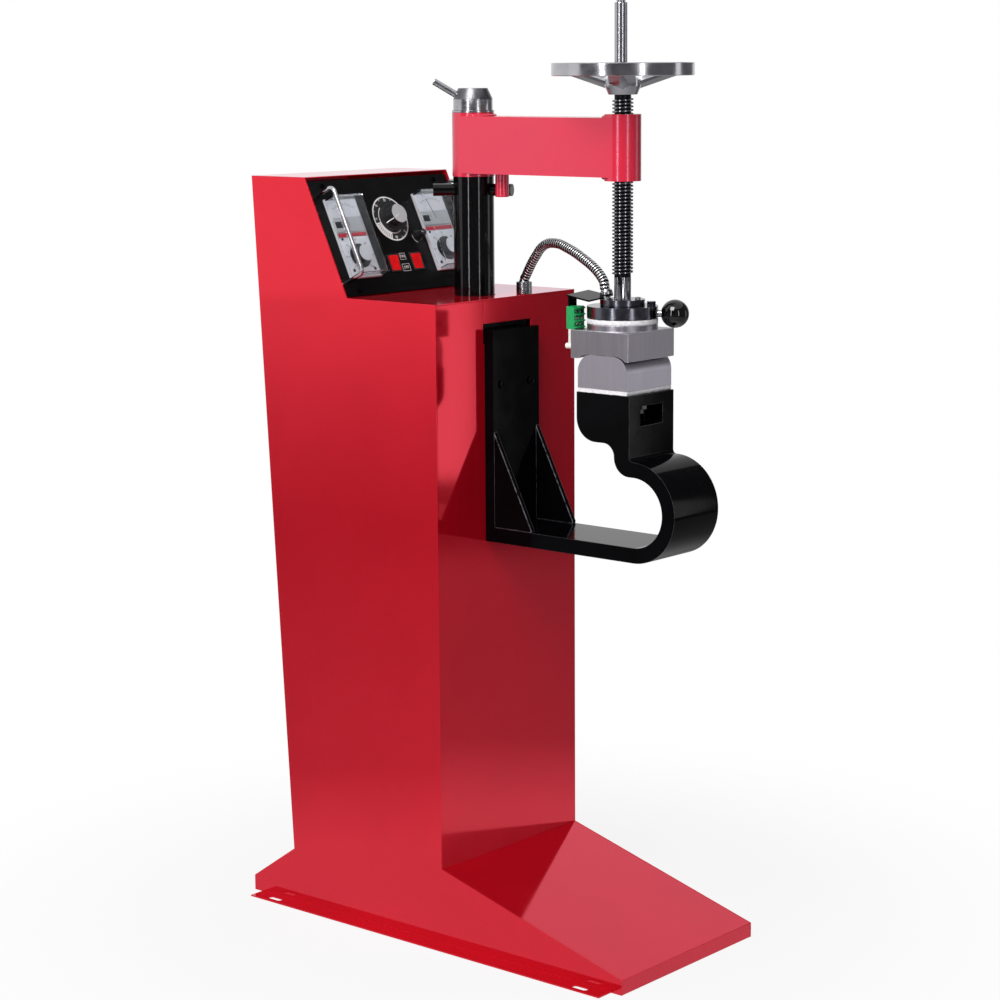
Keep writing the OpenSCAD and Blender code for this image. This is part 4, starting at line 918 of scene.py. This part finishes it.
# studio
studio = {
    "floor": "#cacacc",
    "reach": 10.0,
    # how white the floor looks in mirrors, a painted reflection darker than the camera sees it
    "sheet": [(0.6, 1.0), (1.05, 0.14), (3.5, 0.14), (9.0, 1.0)],  # metres from the middle, and how white
    "shadow": {"from": 0.3, "to": 1.1, "white": 0.88},  # how white the floor is at the machine's foot
    "ambient": 0.15,
    "key": {"place": (-2.85, -0.5, 1.5), "target": (0, 0, 1.5),
            "wide": 0.24, "tall": 2.4, "watts": 20},
    "strip": {"place": (-1.0, -2.75, 1.4), "target": (0, 0, 1.4),
              "wide": 0.24, "tall": 2.0, "watts": 11},
    "top": {"place": (-1.6, -0.5, 2.6), "target": (-0.1, -0.1, 0.95),
            "wide": 1.2, "tall": 1.2, "watts": 62},
    "rim": {"place": (-2.6, 2.4, 1.0), "target": (0, 0, 1.0),
            "wide": 1.6, "tall": 0.7, "watts": 1},
    "fill": {"place": (1.95, -2.14, 0.9), "target": (0, 0, 0.9),
             "wide": 0.55, "tall": 1.4, "watts": 3.6},
}


def areaLamp(name, place, target, wide, tall, watts):
    data = bpy.data.lights.new(name, "AREA")
    data.shape = "RECTANGLE"
    data.size = wide
    data.size_y = tall
    data.energy = watts
    lamp = bpy.data.objects.new(name, data)
    bpy.context.scene.collection.objects.link(lamp)
    lamp.location = place
    lamp.rotation_euler = (Vector(target) - Vector(place)).to_track_quat("-Z", "Y").to_euler()


for lampName in ("key", "strip", "top", "rim", "fill"):
    areaLamp(lampName, **studio[lampName])

# grey curtain on the camera's side, seen only in the gloss of metal and enamel
curtain = {"radius": 3.0, "tall": 3.4, "middle": 255, "reach": 105, "cloth": "#9a9a9e"}


def makeCurtain(c):
    pickOnly()
    bpy.ops.mesh.primitive_cylinder_add(vertices=72, radius=c["radius"], depth=c["tall"],
                                        location=(0, 0, c["tall"] / 2), end_fill_type="NOTHING")
    cloth = named(bpy.context.active_object, "studioCurtain")
    settle(cloth)

    def behind(face):
        middle = face.calc_center_median()
        turn = math.degrees(math.atan2(middle.y, middle.x)) - c["middle"]
        return abs((turn + 180) % 360 - 180) > c["reach"]

    shape(cloth, "FACE", behind, bpy.ops.mesh.delete, type="FACE")
    for ray in ("camera", "diffuse", "shadow", "transmission"):
        setattr(cloth, "visible_" + ray, False)
    # woollen felt: dull even grey with no shine
    felt = newFinish("greyFelt", Base_Color=srgb(c["cloth"]), Roughness=0.95, Specular_IOR_Level=0.0)[0]
    paint(cloth, felt)


makeCurtain(curtain)


def together(tree, kind, a, b):
    return put(tree, "Math", {0: a, 1: b}, operation=kind).outputs[0]


def mirrorRays(tree, path):
    # rays that metal and glass send out see the white background too
    return together(tree, "MAXIMUM", path.outputs["Is Glossy Ray"], path.outputs["Is Transmission Ray"])


def makeWorld(c):
    world = bpy.data.worlds.new("studioWorld")
    world.use_nodes = True
    bpy.context.scene.world = world
    sky = world.node_tree
    sky.nodes.clear()
    ambient = put(sky, "Background", {"Color": (1, 1, 1, 1), "Strength": c["ambient"]})
    white = put(sky, "Background", {"Color": (1, 1, 1, 1), "Strength": 1.0})
    path = put(sky, "LightPath")
    seen = together(sky, "MAXIMUM", path.outputs["Is Camera Ray"], mirrorRays(sky, path))
    shown = put(sky, "MixShader", {0: seen, 1: ambient.outputs[0], 2: white.outputs[0]})
    put(sky, "OutputWorld", {"Surface": shown.outputs[0]})


makeWorld(studio)


def makeFloor(c):
    pickOnly()
    bpy.ops.mesh.primitive_plane_add(size=60, location=(0, 0, -0.0005))
    floor = named(bpy.context.active_object, "studioFloor")
    # matt painted board: pale, with a faint shadow under the machine
    material, tree, shader = newFinish("palePaintedFloor", Base_Color=srgb(c["floor"]), Roughness=0.9,
                                       Specular_IOR_Level=0.1)
    away = put(tree, "VectorMath", {0: put(tree, "TexCoord").outputs["Object"]}, operation="LENGTH")
    shadow = c["shadow"]
    near = put(tree, "MapRange", {"Value": away.outputs["Value"], "From Min": shadow["from"],
                                  "From Max": shadow["to"], "To Min": shadow["white"], "To Max": 1.0},
               interpolation_type="SMOOTHSTEP")
    # painted reflection: rays that metal and glass send out see the floor white close to the machine and
    # far off, and mostly its grey lit diffuse in between, while the camera sees it white
    share = put(tree, "MapRange", {"Value": away.outputs["Value"], "From Max": c["reach"]})
    far = put(tree, "ValToRGB", {"Fac": share.outputs["Result"]})
    stops = far.color_ramp.elements
    while len(stops) < len(c["sheet"]):
        stops.new(1.0)
    for stop, (metres, level) in zip(stops, c["sheet"]):
        stop.position = metres / c["reach"]
        stop.color = (level, level, level, 1)
    path = put(tree, "LightPath")
    looked = together(tree, "MULTIPLY", path.outputs["Is Camera Ray"], near.outputs[0])
    mirrored = together(tree, "MULTIPLY", mirrorRays(tree, path), far.outputs[0])
    glow = put(tree, "Emission", {"Color": (1, 1, 1, 1), "Strength": 1.0})
    mixed = put(tree, "MixShader", {0: together(tree, "MAXIMUM", looked, mirrored), 1: shader.outputs[0],
                                    2: glow.outputs[0]})
    tree.links.new(mixed.outputs[0], tree.nodes["Material Output"].inputs["Surface"])
    paint(floor, material)


makeFloor(studio)
print("studio ready")
